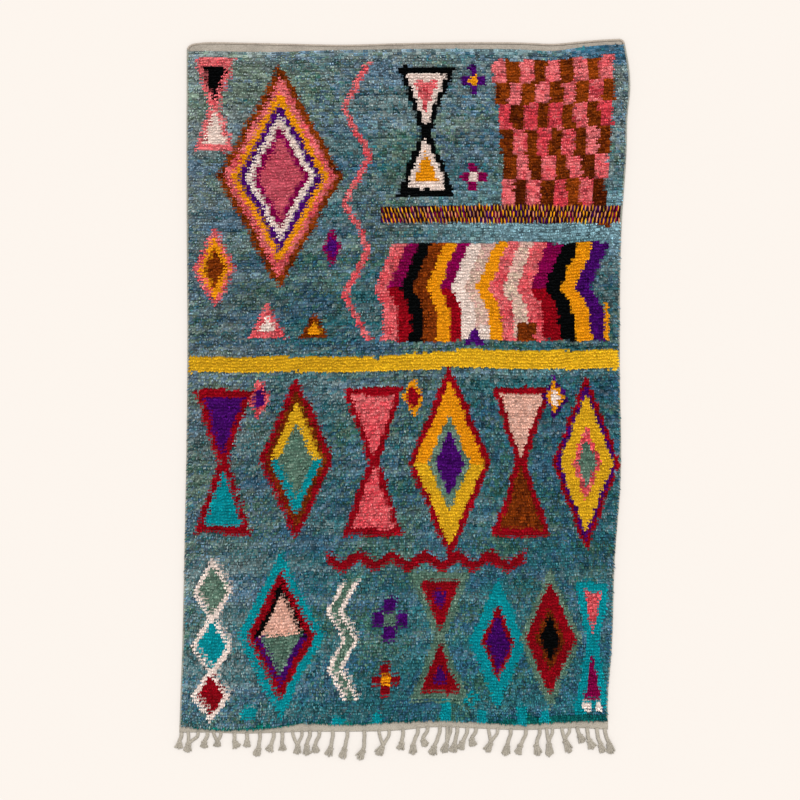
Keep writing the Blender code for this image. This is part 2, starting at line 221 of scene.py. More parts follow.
@dataclass(frozen=True)
class EndEdge:
    """The ends of the web, the pile and the heading at a place across the rug."""

    x: float
    web_end: float
    pile_start: float
    pile_end: float
    heading_end: float


@dataclass(frozen=True)
class Corner:
    """The half axes of a rounded corner of the edge cord."""

    across: float
    along: float


@dataclass(frozen=True)
class Tassel:
    """One tassel: its legs' roots, and its knot and tip with their drops below the web's edge."""

    first_root: float
    last_root: float
    legs: int
    knot_x: float
    knot_drop: float
    tip_x: float
    tip_drop: float

    def roots(self) -> list[float]:
        """The middles of the legs on the web's edge."""
        if self.legs == 1:
            return [self.first_root]
        return list(np.linspace(self.first_root, self.last_root, self.legs))


SIDE_EDGES = (
    SideEdge(-1.200, -0.8145, 0.734, 0.007, 0.002),
    SideEdge(-1.086, -0.8110, 0.734, 0.007, 0.001),
    SideEdge(-0.905, -0.8045, 0.748, 0.006, 0.001),
    SideEdge(-0.580, -0.7970, 0.759, 0.001, 0.001),
    SideEdge(-0.291, -0.7910, 0.780, 0.001, 0.001),
    SideEdge(0.150, -0.7855, 0.777, 0.004, 0.001),
    SideEdge(0.648, -0.7880, 0.785, 0.007, 0.001),
    SideEdge(0.883, -0.7885, 0.801, 0.007, 0.006),
    SideEdge(1.024, -0.7885, 0.805, 0.007, 0.008),
    SideEdge(1.136, -0.7880, 0.815, 0.007, 0.008),
    SideEdge(1.211, -0.7880, 0.809, 0.007, 0.009),
    SideEdge(1.290, -0.7875, 0.794, 0.007, 0.009),
)
END_EDGES = (
    EndEdge(-0.815, -1.203, -1.184, 1.262, 1.2850),
    EndEdge(-0.720, -1.203, -1.195, 1.263, 1.2905),
    EndEdge(-0.580, -1.207, -1.197, 1.260, 1.2890),
    EndEdge(-0.440, -1.203, -1.185, 1.260, 1.2860),
    EndEdge(-0.350, -1.200, -1.172, 1.264, 1.2840),
    EndEdge(-0.260, -1.200, -1.178, 1.266, 1.2820),
    EndEdge(-0.020, -1.195, -1.168, 1.270, 1.2870),
    EndEdge(0.100, -1.184, -1.163, 1.271, 1.2895),
    EndEdge(0.250, -1.188, -1.168, 1.271, 1.2910),
    EndEdge(0.440, -1.194, -1.179, 1.268, 1.2890),
    EndEdge(0.530, -1.190, -1.171, 1.263, 1.2850),
    EndEdge(0.640, -1.187, -1.166, 1.276, 1.2940),
    EndEdge(0.730, -1.192, -1.165, 1.285, 1.3010),
    EndEdge(0.815, -1.192, -1.165, 1.287, 1.3035),
)
TASSELS = (
    Tassel(-0.806, -0.806, 1, -0.814, 0.030, -0.815, 0.060),
    Tassel(-0.782, -0.746, 2, -0.781, 0.038, -0.788, 0.072),
    Tassel(-0.712, -0.712, 1, -0.723, 0.030, -0.727, 0.057),
    Tassel(-0.690, -0.664, 2, -0.677, 0.028, -0.677, 0.051),
    Tassel(-0.615, -0.615, 1, -0.617, 0.026, -0.604, 0.054),
    Tassel(-0.570, -0.570, 1, -0.569, 0.024, -0.572, 0.050),
    Tassel(-0.523, -0.523, 1, -0.527, 0.046, -0.537, 0.085),
    Tassel(-0.473, -0.473, 1, -0.481, 0.040, -0.492, 0.070),
    Tassel(-0.442, -0.442, 1, -0.443, 0.040, -0.440, 0.067),
    Tassel(-0.405, -0.371, 2, -0.387, 0.046, -0.390, 0.082),
    Tassel(-0.342, -0.342, 1, -0.355, 0.046, -0.354, 0.088),
    Tassel(-0.308, -0.308, 1, -0.325, 0.046, -0.322, 0.080),
    Tassel(-0.260, -0.260, 1, -0.266, 0.052, -0.279, 0.090),
    Tassel(-0.207, -0.207, 1, -0.217, 0.058, -0.227, 0.101),
    Tassel(-0.146, -0.146, 1, -0.148, 0.062, -0.168, 0.103),
    Tassel(-0.093, -0.056, 2, -0.078, 0.050, -0.100, 0.091),
    Tassel(-0.006, -0.006, 1, -0.010, 0.042, -0.018, 0.074),
    Tassel(0.048, 0.048, 1, 0.031, 0.052, 0.029, 0.097),
    Tassel(0.083, 0.083, 1, 0.064, 0.038, 0.078, 0.069),
    Tassel(0.127, 0.127, 1, 0.108, 0.067, 0.097, 0.103),
    Tassel(0.153, 0.166, 2, 0.152, 0.054, 0.138, 0.094),
    Tassel(0.190, 0.190, 1, 0.181, 0.054, 0.170, 0.092),
    Tassel(0.226, 0.226, 1, 0.211, 0.046, 0.197, 0.080),
    Tassel(0.258, 0.258, 1, 0.241, 0.034, 0.249, 0.067),
    Tassel(0.303, 0.336, 2, 0.312, 0.044, 0.293, 0.084),
    Tassel(0.383, 0.383, 1, 0.371, 0.050, 0.363, 0.095),
    Tassel(0.438, 0.438, 1, 0.419, 0.052, 0.406, 0.091),
    Tassel(0.488, 0.488, 1, 0.475, 0.050, 0.482, 0.097),
    Tassel(0.513, 0.534, 2, 0.520, 0.046, 0.524, 0.102),
    Tassel(0.568, 0.596, 2, 0.578, 0.038, 0.598, 0.091),
    Tassel(0.624, 0.624, 1, 0.630, 0.024, 0.645, 0.054),
    Tassel(0.659, 0.659, 1, 0.665, 0.040, 0.681, 0.077),
    Tassel(0.694, 0.694, 1, 0.706, 0.052, 0.719, 0.088),
    Tassel(0.723, 0.723, 1, 0.736, 0.044, 0.749, 0.090),
)


@dataclass(frozen=True)
class RugOutline:
    """The rug's edges and the height of its pile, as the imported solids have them."""

    field_start: float = -1.18
    field_end: float = 1.27
    pile_height: float = 0.021
    lumps: Drift = Drift(0.0026, 0.13, 0.13, 0.5)
    swell: Drift = Drift(0.0014, 0.55, 0.55, 4.5)
    crease_depth: float = 0.0028
    crease_columns: int = 34
    ground_thickness: float = 0.0040
    end_foot_in: float = 0.006
    cord_width: float = 0.0090
    cord_height: float = 0.0080
    meeting_gap: float = 0.0003
    left_corner: Corner = Corner(0.036, 0.020)
    right_corner: Corner = Corner(0.018, 0.014)
    corner_points: int = 12
    crease_track: tuple[tuple[float, float], ...] = (
        (-1.20, 0.0), (-0.70, 0.15), (-0.40, 0.8), (0.20, 1.0), (0.95, 0.9), (1.20, 0.2), (1.30, 0.0),
    )

    def side(self, column: str, y: np.ndarray) -> np.ndarray:
        """A column of the side edges' table at some places along the rug."""
        return read_table(SIDE_EDGES, "y", column, y)

    def end(self, column: str, x: np.ndarray) -> np.ndarray:
        """A column of the end edges' table at some places across the rug."""
        return read_table(END_EDGES, "x", column, x)

    def field_point(
        self, u: np.ndarray, v: np.ndarray, side_in: float, end_in: float
    ) -> tuple[np.ndarray, np.ndarray]:
        """Places in the pile field.

        Args:
            u: the shares across.
            v: the shares along.
            side_in: how far the field's sides are drawn in.
            end_in: how far its ends are drawn in.

        Returns:
            The places' X and Y.
        """
        y = self.field_start + (self.field_end - self.field_start) * v
        left, right = self.side("left", y), self.side("right", y)
        x = left + (right - left) * u
        first, last = self.end("pile_start", x) + end_in, self.end("pile_end", x) - end_in
        y = first + (last - first) * v
        left, right = self.side("left", y) + side_in, self.side("right", y) - side_in
        return left + (right - left) * u, y

    def pile_top(self, x: np.ndarray, y: np.ndarray, u: np.ndarray) -> np.ndarray:
        """The height of the pile: lumpy, softly swelling, with the crease along the middle."""
        places, shares = zip(*self.crease_track)
        reach = np.interp(y, places, shares)
        trough = self.crease_depth * reach * np.exp(-(((u - 0.5) * self.crease_columns) ** 2))
        return self.pile_height + self.lumps.at(x, y) + self.swell.at(x, y) - trough

    def corner(self, column: Column) -> Corner:
        """The rounded corner that the heading's cord turns round at a side."""
        return self.left_corner if column is Column.LEFT else self.right_corner

    def corner_centre(self, column: Column) -> tuple[float, float]:
        """The middle of a rounded corner."""
        corner = self.corner(column)
        reach = self.cord_width / 2 + corner.across
        x = END_EDGES[0 if column is Column.LEFT else -1].x + column.inwards * reach
        y = float(self.end("heading_end", x)) - self.cord_width / 2 - corner.along
        return float(self.side(column.side, y)) + column.inwards * reach, y

    def corner_arc(self, column: Column, angles: np.ndarray) -> np.ndarray:
        """Points at some angles on the cord's middle line round a corner."""
        corner, (x, y) = self.corner(column), self.corner_centre(column)
        return np.stack([x + corner.across * np.cos(angles), y + corner.along * np.sin(angles)], 1)

    def heading_route(self, spacing: float) -> np.ndarray:
        """The middle line of the heading's cord.

        Args:
            spacing: the distance between its points on the straight stretch.

        Returns:
            The points' X and Y, from the left corner to the right one.
        """
        left_x, right_x = (self.corner_centre(column)[0] for column in Column)
        turn = np.linspace(0, HALF_TURN / 2, self.corner_points)
        start = self.corner_arc(Column.LEFT, HALF_TURN - turn)
        finish = self.corner_arc(Column.RIGHT, HALF_TURN / 2 - turn)
        count = int((right_x - left_x) / spacing)
        x = np.linspace(left_x, right_x, count)[1:-1]
        middle = np.stack([x, self.end("heading_end", x) - self.cord_width / 2], 1)
        return np.concatenate([start, middle, finish])


@dataclass
class KnotChart:
    """The yarn ends of the pile: each one's design place, wool, drift of shade and how far it is sunk."""

    x: np.ndarray
    y: np.ndarray
    wool: np.ndarray
    drift: np.ndarray
    sunk: np.ndarray

    def lay(self, mask: np.ndarray, wool: Wool) -> None:
        """Gives the yarn ends of a mask a wool."""
        self.wool[mask] = WOOLS.index(wool)


@dataclass(frozen=True)
class Band:
    """A band of one wool, with its width across."""

    wool: Wool
    width: float


def lay_bands(chart: KnotChart, depth: np.ndarray, bands: tuple[Band, ...]) -> None:
    """Lays bands one inside the other.

    Args:
        chart: the knots.
        depth: how deep each knot lies inside the figure.
        bands: the bands from the outside in; the last one fills the middle.
    """
    start = 0.0
    for band in bands:
        chart.lay(depth > start, band.wool)
        start += band.width


@dataclass(frozen=True)
class NestedLozenge:
    """A lozenge of bands one inside the other, whose lower half may have bands of its own."""

    x: float
    y: float
    half_width: float
    half_height: float
    bands: tuple[Band, ...]
    low_bands: tuple[Band, ...] = ()

    def knot_into(self, chart: KnotChart) -> None:
        """Lays the lozenge into the chart."""
        reach = np.abs(chart.x - self.x) / self.half_width + np.abs(chart.y - self.y) / self.half_height
        depth = (1 - reach) * self.half_width
        lay_bands(chart, depth, self.bands)
        lay_bands(chart, np.where(chart.y < self.y, depth, -1.0), self.low_bands)


@dataclass(frozen=True)
class Hourglass:
    """Two triangles tip to tip with an outline, each half in bands of its own."""

    x: float
    y: float
    half_width: float
    half_height: float
    upper: tuple[Band, ...]
    lower: tuple[Band, ...]
    waist: float = 0.16
    cap_share: float = 0.8

    def knot_into(self, chart: KnotChart) -> None:
        """Lays the hourglass into the chart."""
        rise = (chart.y - self.y) / self.half_height
        width = self.half_width * (self.waist + (1 - self.waist) * np.abs(rise))
        cap = (1 - np.abs(rise)) * self.half_height * self.cap_share
        depth = np.minimum(width - np.abs(chart.x - self.x), cap)
        lay_bands(chart, np.where(rise >= 0, depth, -1.0), self.upper)
        lay_bands(chart, np.where(rise < 0, depth, -1.0), self.lower)


@dataclass(frozen=True)
class Peak:
    """A triangle that stands on its base, in bands."""

    x: float
    base: float
    half_width: float
    height: float
    bands: tuple[Band, ...]

    def knot_into(self, chart: KnotChart) -> None:
        """Lays the peak into the chart."""
        rise = (chart.y - self.base) / self.height
        depth = np.minimum(self.half_width * (1 - rise) - np.abs(chart.x - self.x), rise * self.height)
        lay_bands(chart, depth, self.bands)


@dataclass(frozen=True)
class SquareCross:
    """An upright cross of five squares, with a middle of its own."""

    x: float
    y: float
    square_width: float
    square_height: float
    arms: Wool
    middle: Wool

    def knot_into(self, chart: KnotChart) -> None:
        """Lays the cross into the chart."""
        across = np.abs(chart.x - self.x) / self.square_width
        along = np.abs(chart.y - self.y) / self.square_height
        arm = ((across < 1.5) & (along < 0.5)) | ((across < 0.5) & (along < 1.5))
        chart.lay(arm, self.arms)
        chart.lay((across < 0.5) & (along < 0.5), self.middle)


@dataclass(frozen=True)
class Zigzag:
    """A zigzag line of one or more bands that runs along or across the rug."""

    x: float
    y: float
    length: float
    swing: float
    period: float
    bands: tuple[Band, ...]
    half_width: float
    lengthwise: bool = True

    def knot_into(self, chart: KnotChart) -> None:
        """Lays the zigzag into the chart."""
        run = (chart.y - self.y) if self.lengthwise else (chart.x - self.x)
        aside = (chart.x - self.x) if self.lengthwise else (chart.y - self.y)
        phase = (run / self.period) % 1.0
        line = self.swing * (4 * np.abs(phase - 0.5) - 1)
        depth = self.half_width - np.abs(aside - line)
        lay_bands(chart, np.where((run >= 0) & (run <= self.length), depth, -1.0), self.bands)


@dataclass(frozen=True)
class CrossStripe:
    """A stripe from side to side, whose line and width follow a few places."""

    places: tuple[float, ...]
    middles: tuple[float, ...]
    half_widths: tuple[float, ...]
    wool: Wool
    fading: float = 0.0

    def knot_into(self, chart: KnotChart) -> None:
        """Lays the stripe into the chart, its wool fading towards the right."""
        middle = np.interp(chart.x, self.places, self.middles)
        half = np.interp(chart.x, self.places, self.half_widths)
        inside = np.abs(chart.y - middle) < half
        chart.lay(inside, self.wool)
        chart.drift[inside] += self.fading * chart.x[inside]


@dataclass(frozen=True)
class Patch:
    """A small block of one wool."""

    left: float
    right: float
    bottom: float
    top: float
    wool: Wool

    def knot_into(self, chart: KnotChart) -> None:
        """Lays the block into the chart."""
        across = (chart.x > self.left) & (chart.x < self.right)
        chart.lay(across & (chart.y > self.bottom) & (chart.y < self.top), self.wool)


@dataclass(frozen=True)
class Yarn:
    """A ridged yarn: its section, the length of a turn, its plies with their relief, and its mesh."""

    width: float
    height: float
    turn: float
    plies: int
    relief: float
    sides: int
    spacing: float

    def lay(
        self, tree: "GeometryTree", routes: bpy.types.Object, name: str, material: bpy.types.Material
    ) -> bpy.types.Object:
        """Lays the yarn along its routes, as one piece of a finish."""
        return tree.apply_to(routes, name, {
            "Width": self.width, "Height": self.height, "Turn": self.turn, "Plies": self.plies,
            "Relief": self.relief, "Sides": self.sides, "Spacing": self.spacing, "Yarn": material,
        })


@dataclass(frozen=True)
class TickedBar:
    """A bar of low dark pile under rows of short slanting yarns, light and dark in turn."""

    left: float
    right: float
    bottom: float
    tops: tuple[float, float, float]
    ground: Wool
    shades: tuple[Wool, ...]
    ticks: tuple[Wool, ...]
    rows: int = 3
    sunk: float = 0.0075
    pitch: float = 0.0066
    left_slant: float = 0.0070
    right_slant: float = -0.0045
    yarn: Yarn = Yarn(0.0074, 0.0056, 0.011, 2, 0.0006, 5, 0.0047)
    light_shade: tuple[float, float] = (0.28, 0.80)
    dark_shade: tuple[float, float] = (0.18, 0.65)
    slimmest: float = 0.28
    light_width: float = 0.88
    lift: float = 0.0168
    dip: float = 0.0050
    dip_power: float = 2.2
    lap: float = 0.08
    cord_share: float = 0.3
    # how high in the pile the yarns read, for the pile finish's painted shade
    rise: float = 0.78
    points: int = 7
    slack: float = 0.0013
    hem: float = 0.0040

    def top(self, x: np.ndarray) -> np.ndarray:
        """The bar's upper edge, which is drawn through its left end, its middle and its right end."""
        return np.interp(x, (self.left, (self.left + self.right) / 2, self.right), self.tops)

    def knot_into(self, chart: KnotChart) -> None:
        """Lays the bar's ground into the chart and sinks it."""
        across = (chart.x > self.left + self.hem) & (chart.x < self.right - self.hem)
        inside = across & (chart.y > self.bottom + self.hem) & (chart.y < self.top(chart.x) - self.hem)
        chart.lay(inside, self.ground)
        chart.sunk[inside] = self.sunk

    def colour(self, light: bool, rng: random.Random) -> np.ndarray:
        """A light or a dark yarn's colour, darker than the wool it is drawn from."""
        wool = rng.choice(self.ticks if light else self.shades)
        shade = rng.uniform(*(self.light_shade if light else self.dark_shade))
        return (wool.main + (wool.drift - wool.main) * rng.random()) * shade

    def build(
        self, tree: "GeometryTree", outline: RugOutline, material: bpy.types.Material
    ) -> bpy.types.Object:
        """Makes the slanting yarns as one piece.

        Args:
            tree: the yarn tree.
            outline: the rug's edges and the height of its pile.
            material: the pile's finish.

        Returns:
            The piece.
        """
        rng = random.Random(SEED)
        routes, widths, colours = [], [], []
        share = np.linspace(0, 1, self.points)
        lens = self.slimmest + (1 - self.slimmest) * np.sin(HALF_TURN * share)
        end = float(outline.side("right", np.array(self.bottom))) - self.cord_share * outline.cord_width
        places = np.arange(self.left + self.pitch, min(self.right, end) - self.pitch, self.pitch)
        wide_slack = 1.5 * self.slack
        for row in range(self.rows):
            for number, place in enumerate(places):
                tall = (self.top(place) - self.bottom) / self.rows
                slant = np.interp(place, places[[0, -1]], (self.left_slant, self.right_slant))
                slant = slant + rng.gauss(0, wide_slack)
                x = place + rng.gauss(0, self.slack) + slant * (share - 0.5)
                down = row - self.lap + share * (1 + 2 * self.lap)
                y = self.top(place) - tall * down + rng.gauss(0, wide_slack)
                dip = self.dip * np.abs(2 * share - 1) ** self.dip_power
                z = self.lift - dip + rng.gauss(0, self.slack)
                lumps = outline.pile_top(x, y, np.full_like(x, 1.0)) - outline.pile_height
                routes.append(np.stack([x, y, z + lumps], 1))
                light = (number + row) % 2 == 1
                colours.append(np.tile([*self.colour(light, rng), 1.0], (self.points, 1)))
                widths.append(lens * (self.light_width if light else 1.0))
        route = route_mesh("tick routes", routes, widths)
        put_attribute(route.data, "wool", "FLOAT_COLOR", np.concatenate(colours))
        put_level(route.data, self.rise)
        piece = self.yarn.lay(tree, route, "ticked_bar_yarns", material)
        keep_pile_layers(piece.data)
        return piece


@dataclass(frozen=True)
class CheckRow:
    """One row of checkers, with its two ends, its foot and the two wools in turn."""

    left: float
    right: float
    foot: float
    columns: int
    first: Wool
    second: Wool


@dataclass(frozen=True)
class Checkers:
    """A block of checkers whose top rises to the right, and whose wools fade towards the top."""

    top: float
    rise: float
    rows: tuple[CheckRow, ...]
    fading: float = 1.1
    unevenness: float = 0.34

    def knot_into(self, chart: KnotChart) -> None:
        """Lays the block into the chart, each check with a shade of its own."""
        first, bottom = self.rows[0], self.rows[-1].foot
        over = np.clip((chart.x - first.left) / (first.right - first.left), 0, 1)
        level = bottom + (chart.y - bottom) / (1 + self.rise * over**4 / (self.top - bottom))
        rng = np.random.default_rng(SEED)
        head = self.top
        for row in self.rows:
            over = (chart.x - row.left) / (row.right - row.left)
            inside = (over > 0) & (over < 1) & (level < head) & (level > row.foot)
            column = np.clip(np.floor(over * row.columns), 0, row.columns - 1).astype(int)
            chart.lay(inside, row.first)
            chart.lay(inside & (column % 2 == 1), row.second)
            faded = self.fading * (row.foot - first.foot / 2 - bottom / 2)
            shades = rng.normal(0, self.unevenness, row.columns) + faded
            chart.drift[inside] += shades[column][inside]
            head = row.foot


@dataclass(frozen=True)
class Chevrons:
    """A block of upright stripes that bend to a point at mid height and lean again below it.

    The levels are the heights of the foot, the knee, the point and the top, from the foot up, and the bends
    are how far the first and the last stripe lie to the right of the point there.
    """

    left: float
    width: float
    levels: tuple[float, float, float, float]
    first_bend: tuple[float, float, float, float]
    last_bend: tuple[float, float, float, float]
    upper: tuple[Band, ...]
    lower: tuple[Wool, ...]

    def knot_into(self, chart: KnotChart) -> None:
        """Lays the block into the chart."""
        share = np.clip((chart.x - self.left) / self.width, 0, 1)
        first = np.interp(chart.y, self.levels, self.first_bend)
        last = np.interp(chart.y, self.levels, self.last_bend)
        over = chart.x - self.left - first - (last - first) * share
        inside = (chart.y > self.levels[0]) & (chart.y < self.levels[-1])
        point = self.levels[2]
        start = 0.0
        for band, low in zip(self.upper, self.lower):
            stripe = inside & (over >= start) & (over < start + band.width)
            chart.lay(stripe, band.wool)
            chart.lay(stripe & (chart.y < point), low)
            start += band.width


def bands(*rows: tuple[Wool, float]) -> tuple[Band, ...]:
    """Bands from pairs of a wool and a width."""
    return tuple(Band(wool, width) for wool, width in rows)


UPPER_STRIPES = bands(
    (Wool.PINK, 0.051), (Wool.MAGENTA, 0.046), (Wool.BLACK, 0.044), (Wool.RUST, 0.048), (Wool.GOLD, 0.045),
    (Wool.MAGENTA, 0.044), (Wool.WHITE, 0.048), (Wool.BEIGE, 0.045), (Wool.GOLD, 0.046), (Wool.PINK, 0.045),
    (Wool.BEIGE, 0.051), (Wool.PINK, 0.052), (Wool.MAGENTA, 0.054), (Wool.BLACK, 0.054), (Wool.GOLD, 0.056),
    (Wool.PURPLE, 0.057),
)
LOWER_STRIPES = (
    Wool.PINK, Wool.RED, Wool.BLACK, Wool.RUST, Wool.GOLD, Wool.RED, Wool.WHITE, Wool.BEIGE,
    Wool.GOLD, Wool.PINK, Wool.BEIGE, Wool.PINK, Wool.RED, Wool.BLACK, Wool.GOLD, Wool.PURPLE,
)
TICKED_BAR = TickedBar(
    -0.088, 0.800, 0.634, (0.691, 0.704, 0.699), Wool.PLUM,
    (Wool.PLUM, Wool.PLUM, Wool.PURPLE, Wool.PURPLE, Wool.MAGENTA),
    (Wool.GOLD, Wool.GOLD, Wool.GOLD, Wool.GOLD, Wool.YELLOW, Wool.PEACH, Wool.PEACH),
)
REPEATS = (
    CrossStripe((-0.80, -0.10, 0.0, 0.16, 0.80), (0.120, 0.121, 0.130, 0.140, 0.140),
                (0.029, 0.025, 0.029, 0.032, 0.035), Wool.YELLOW, 0.55),
    TICKED_BAR,
    Checkers(1.220, 0.026, (
        CheckRow(0.317, 0.755, 1.140, 9, Wool.PINK, Wool.RUST),
        CheckRow(0.325, 0.762, 1.066, 9, Wool.RUST, Wool.PINK),
        CheckRow(0.338, 0.752, 0.975, 9, Wool.PINK, Wool.RUST),
        CheckRow(0.347, 0.744, 0.880, 9, Wool.RUST, Wool.PINK),
        CheckRow(0.356, 0.732, 0.793, 8, Wool.RUST, Wool.PINK),
        CheckRow(0.350, 0.726, 0.692, 8, Wool.PINK, Wool.RUST),
    )),
    Chevrons(-0.113, 0.786, (0.207, 0.327, 0.399, 0.563), (0.022, 0.034, 0.0, 0.070),
             (0.066, 0.042, 0.0, 0.068), UPPER_STRIPES, LOWER_STRIPES),
    Patch(0.403, 0.474, 0.207, 0.276, Wool.RUST),
    Patch(0.720, 0.737, 0.212, 0.350, Wool.GOLD),
    Patch(0.262, 0.303, 0.207, 0.266, Wool.WHITE),
    Peak(0.249, 0.190, 0.036, 0.066, (Band(Wool.PURPLE, 0.0),)),
    CrossStripe((-0.80, -0.62, -0.30, 0.02, 0.12, 0.30, 0.42, 0.80),
                (-1.196, -1.194, -1.186, -1.172, -1.172, -1.172, -1.164, -1.158),
                (0.005, 0.006, 0.016, 0.012, 0.004, 0.007, 0.016, 0.020), Wool.SEA_GREEN),
    Patch(-0.595, -0.538, -1.160, -1.120, Wool.TURQUOISE),
    Patch(-0.262, -0.226, -1.180, -1.150, Wool.TURQUOISE),
    Patch(-0.118, -0.086, -1.172, -1.138, Wool.TURQUOISE),
    Patch(0.128, 0.166, -1.168, -1.098, Wool.TURQUOISE),
    Patch(0.258, 0.292, -1.190, -1.122, Wool.TURQUOISE),
    Patch(0.402, 0.440, -1.182, -1.112, Wool.TURQUOISE),
    Patch(0.486, 0.522, -1.170, -1.128, Wool.TURQUOISE),
    Patch(0.610, 0.650, -1.140, -1.104, Wool.TURQUOISE),
    Patch(0.692, 0.746, 0.620, 0.636, Wool.RUST),
)
UPPER_FIGURES = (
    NestedLozenge(-0.455, 0.80, 0.228, 0.410, bands(
        (Wool.RUST, 0.026), (Wool.PINK, 0.026), (Wool.GOLD, 0.024), (Wool.PURPLE, 0.024),
        (Wool.WHITE, 0.024), (Wool.MAGENTA, 0.022), (Wool.ROSE, 0.0))),
    Hourglass(-0.692, 1.060, 0.074, 0.170,
              bands((Wool.PINK, 0.021), (Wool.BLACK, 0.0)),
              bands((Wool.PINK, 0.021), (Wool.WHITE, 0.0)), waist=0.22),
    NestedLozenge(-0.690, 0.470, 0.078, 0.150, bands(
        (Wool.PINK, 0.018), (Wool.GOLD, 0.020), (Wool.RUST, 0.0))),
    Zigzag(-0.175, 0.205, 1.01, 0.045, 0.337, bands((Wool.PINK, 0.0)), 0.012),
    NestedLozenge(-0.265, 0.545, 0.036, 0.070, bands((Wool.MAGENTA, 0.014), (Wool.PURPLE, 0.0))),
    Peak(-0.500, 0.215, 0.070, 0.130, bands((Wool.PINK, 0.024), (Wool.WHITE, 0.0))),
    Peak(-0.330, 0.215, 0.055, 0.100, bands((Wool.RUST, 0.018), (Wool.GOLD, 0.0))),
    Hourglass(0.075, 0.965, 0.105, 0.235,
              bands((Wool.BLACK, 0.022), (Wool.WHITE, 0.020), (Wool.PINK, 0.0)),
              bands((Wool.BLACK, 0.022), (Wool.WHITE, 0.020), (Wool.GOLD, 0.0))),
    SquareCross(0.245, 1.150, 0.030, 0.034, Wool.PURPLE, Wool.GOLD),
    SquareCross(0.245, 0.800, 0.030, 0.034, Wool.MAGENTA, Wool.WHITE),
)
MIDDLE_FIGURES = (
    Hourglass(-0.660, -0.230, 0.105, 0.260,
              bands((Wool.RED, 0.024), (Wool.PURPLE, 0.0)), bands((Wool.RED, 0.024), (Wool.TURQUOISE, 0.0))),
    NestedLozenge(-0.395, -0.220, 0.135, 0.300, bands(
        (Wool.RED, 0.022), (Wool.RUST, 0.020), (Wool.YELLOW, 0.034), (Wool.GREY_GREEN, 0.0)), bands(
        (Wool.RED, 0.022), (Wool.RUST, 0.020), (Wool.TURQUOISE, 0.030), (Wool.GREY_GREEN, 0.0))),
    Hourglass(-0.115, -0.230, 0.112, 0.270,
              bands((Wool.RED, 0.022), (Wool.PINK, 0.0)), bands((Wool.RED, 0.022), (Wool.PINK, 0.0))),
    NestedLozenge(0.160, -0.235, 0.152, 0.350, bands(
        (Wool.RED, 0.024), (Wool.GOLD, 0.052), (Wool.GREY_GREEN, 0.022), (Wool.PURPLE, 0.0)), bands(
        (Wool.RED, 0.024), (Wool.YELLOW, 0.052), (Wool.GREY_GREEN, 0.022), (Wool.PURPLE, 0.0))),
    Hourglass(0.420, -0.230, 0.108, 0.270,
              bands((Wool.RED, 0.022), (Wool.CREAM, 0.0)), bands((Wool.RED, 0.022), (Wool.RUST, 0.0))),
    NestedLozenge(0.655, -0.235, 0.122, 0.320, bands(
        (Wool.RED, 0.014), (Wool.PURPLE, 0.012), (Wool.YELLOW, 0.044), (Wool.PINK, 0.018),
        (Wool.GREY_GREEN, 0.0))),
    NestedLozenge(-0.530, 0.000, 0.041, 0.072, bands((Wool.PINK, 0.014), (Wool.PURPLE, 0.0))),
    NestedLozenge(0.030, 0.000, 0.041, 0.072, bands((Wool.GOLD, 0.014), (Wool.RED, 0.0))),
    NestedLozenge(0.540, 0.005, 0.045, 0.076, bands(
        (Wool.PURPLE, 0.012), (Wool.GOLD, 0.014), (Wool.WHITE, 0.0))),
    Zigzag(-0.290, -0.590, 0.72, 0.022, 0.120, bands((Wool.RED, 0.0)), 0.021, lengthwise=False),
)
LOWER_FIGURES = (
    NestedLozenge(-0.695, -0.695, 0.073, 0.120, bands((Wool.WHITE, 0.020), (Wool.GREY_GREEN, 0.0))),
    NestedLozenge(-0.698, -0.895, 0.073, 0.120, bands((Wool.WHITE, 0.020), (Wool.TURQUOISE, 0.0))),
    NestedLozenge(-0.702, -1.072, 0.070, 0.100, bands((Wool.WHITE, 0.020), (Wool.RED, 0.0))),
    NestedLozenge(-0.450, -0.860, 0.156, 0.305, bands(
        (Wool.TURQUOISE, 0.034), (Wool.RED, 0.026), (Wool.BLACK, 0.020), (Wool.CREAM, 0.0)), bands(
        (Wool.TURQUOISE, 0.034), (Wool.RED, 0.026), (Wool.PURPLE, 0.022), (Wool.GREY_GREEN, 0.0))),
    Zigzag(-0.225, -1.085, 0.43, 0.030, 0.215, bands((Wool.WHITE, 0.016), (Wool.GREY_GREEN, 0.0)), 0.030),
    SquareCross(-0.055, -0.800, 0.044, 0.052, Wool.PURPLE, Wool.GREY_GREEN),
    SquareCross(-0.070, -1.020, 0.034, 0.040, Wool.RED, Wool.GOLD),
    Hourglass(0.125, -0.865, 0.112, 0.235,
              bands((Wool.GREY_GREEN, 0.026), (Wool.RED, 0.030), (Wool.PURPLE, 0.0)),
              bands((Wool.GREY_GREEN, 0.026), (Wool.RED, 0.030), (Wool.PURPLE, 0.0))),
    NestedLozenge(0.335, -0.885, 0.104, 0.240, bands(
        (Wool.TURQUOISE, 0.044), (Wool.RED, 0.016), (Wool.PURPLE, 0.0))),
    NestedLozenge(0.525, -0.870, 0.112, 0.262, bands(
        (Wool.GREY_GREEN, 0.022), (Wool.RED, 0.040), (Wool.RUST, 0.014), (Wool.BLACK, 0.0))),
    Hourglass(0.677, -0.890, 0.062, 0.225, bands((Wool.TURQUOISE, 0.026), (Wool.PINK, 0.0)),
              bands((Wool.TURQUOISE, 0.026), (Wool.MAGENTA, 0.0)), waist=0.34),
    SquareCross(0.240, -1.085, 0.020, 0.022, Wool.TURQUOISE, Wool.GREY_GREEN),
    Patch(0.640, 0.668, -1.128, -1.096, Wool.WHITE),
    Patch(0.684, 0.708, -1.128, -1.096, Wool.WHITE),
)


@dataclass(frozen=True)
class Input:
    """A named input of a geometry tree."""

    name: str
    kind: str
    default: object = None


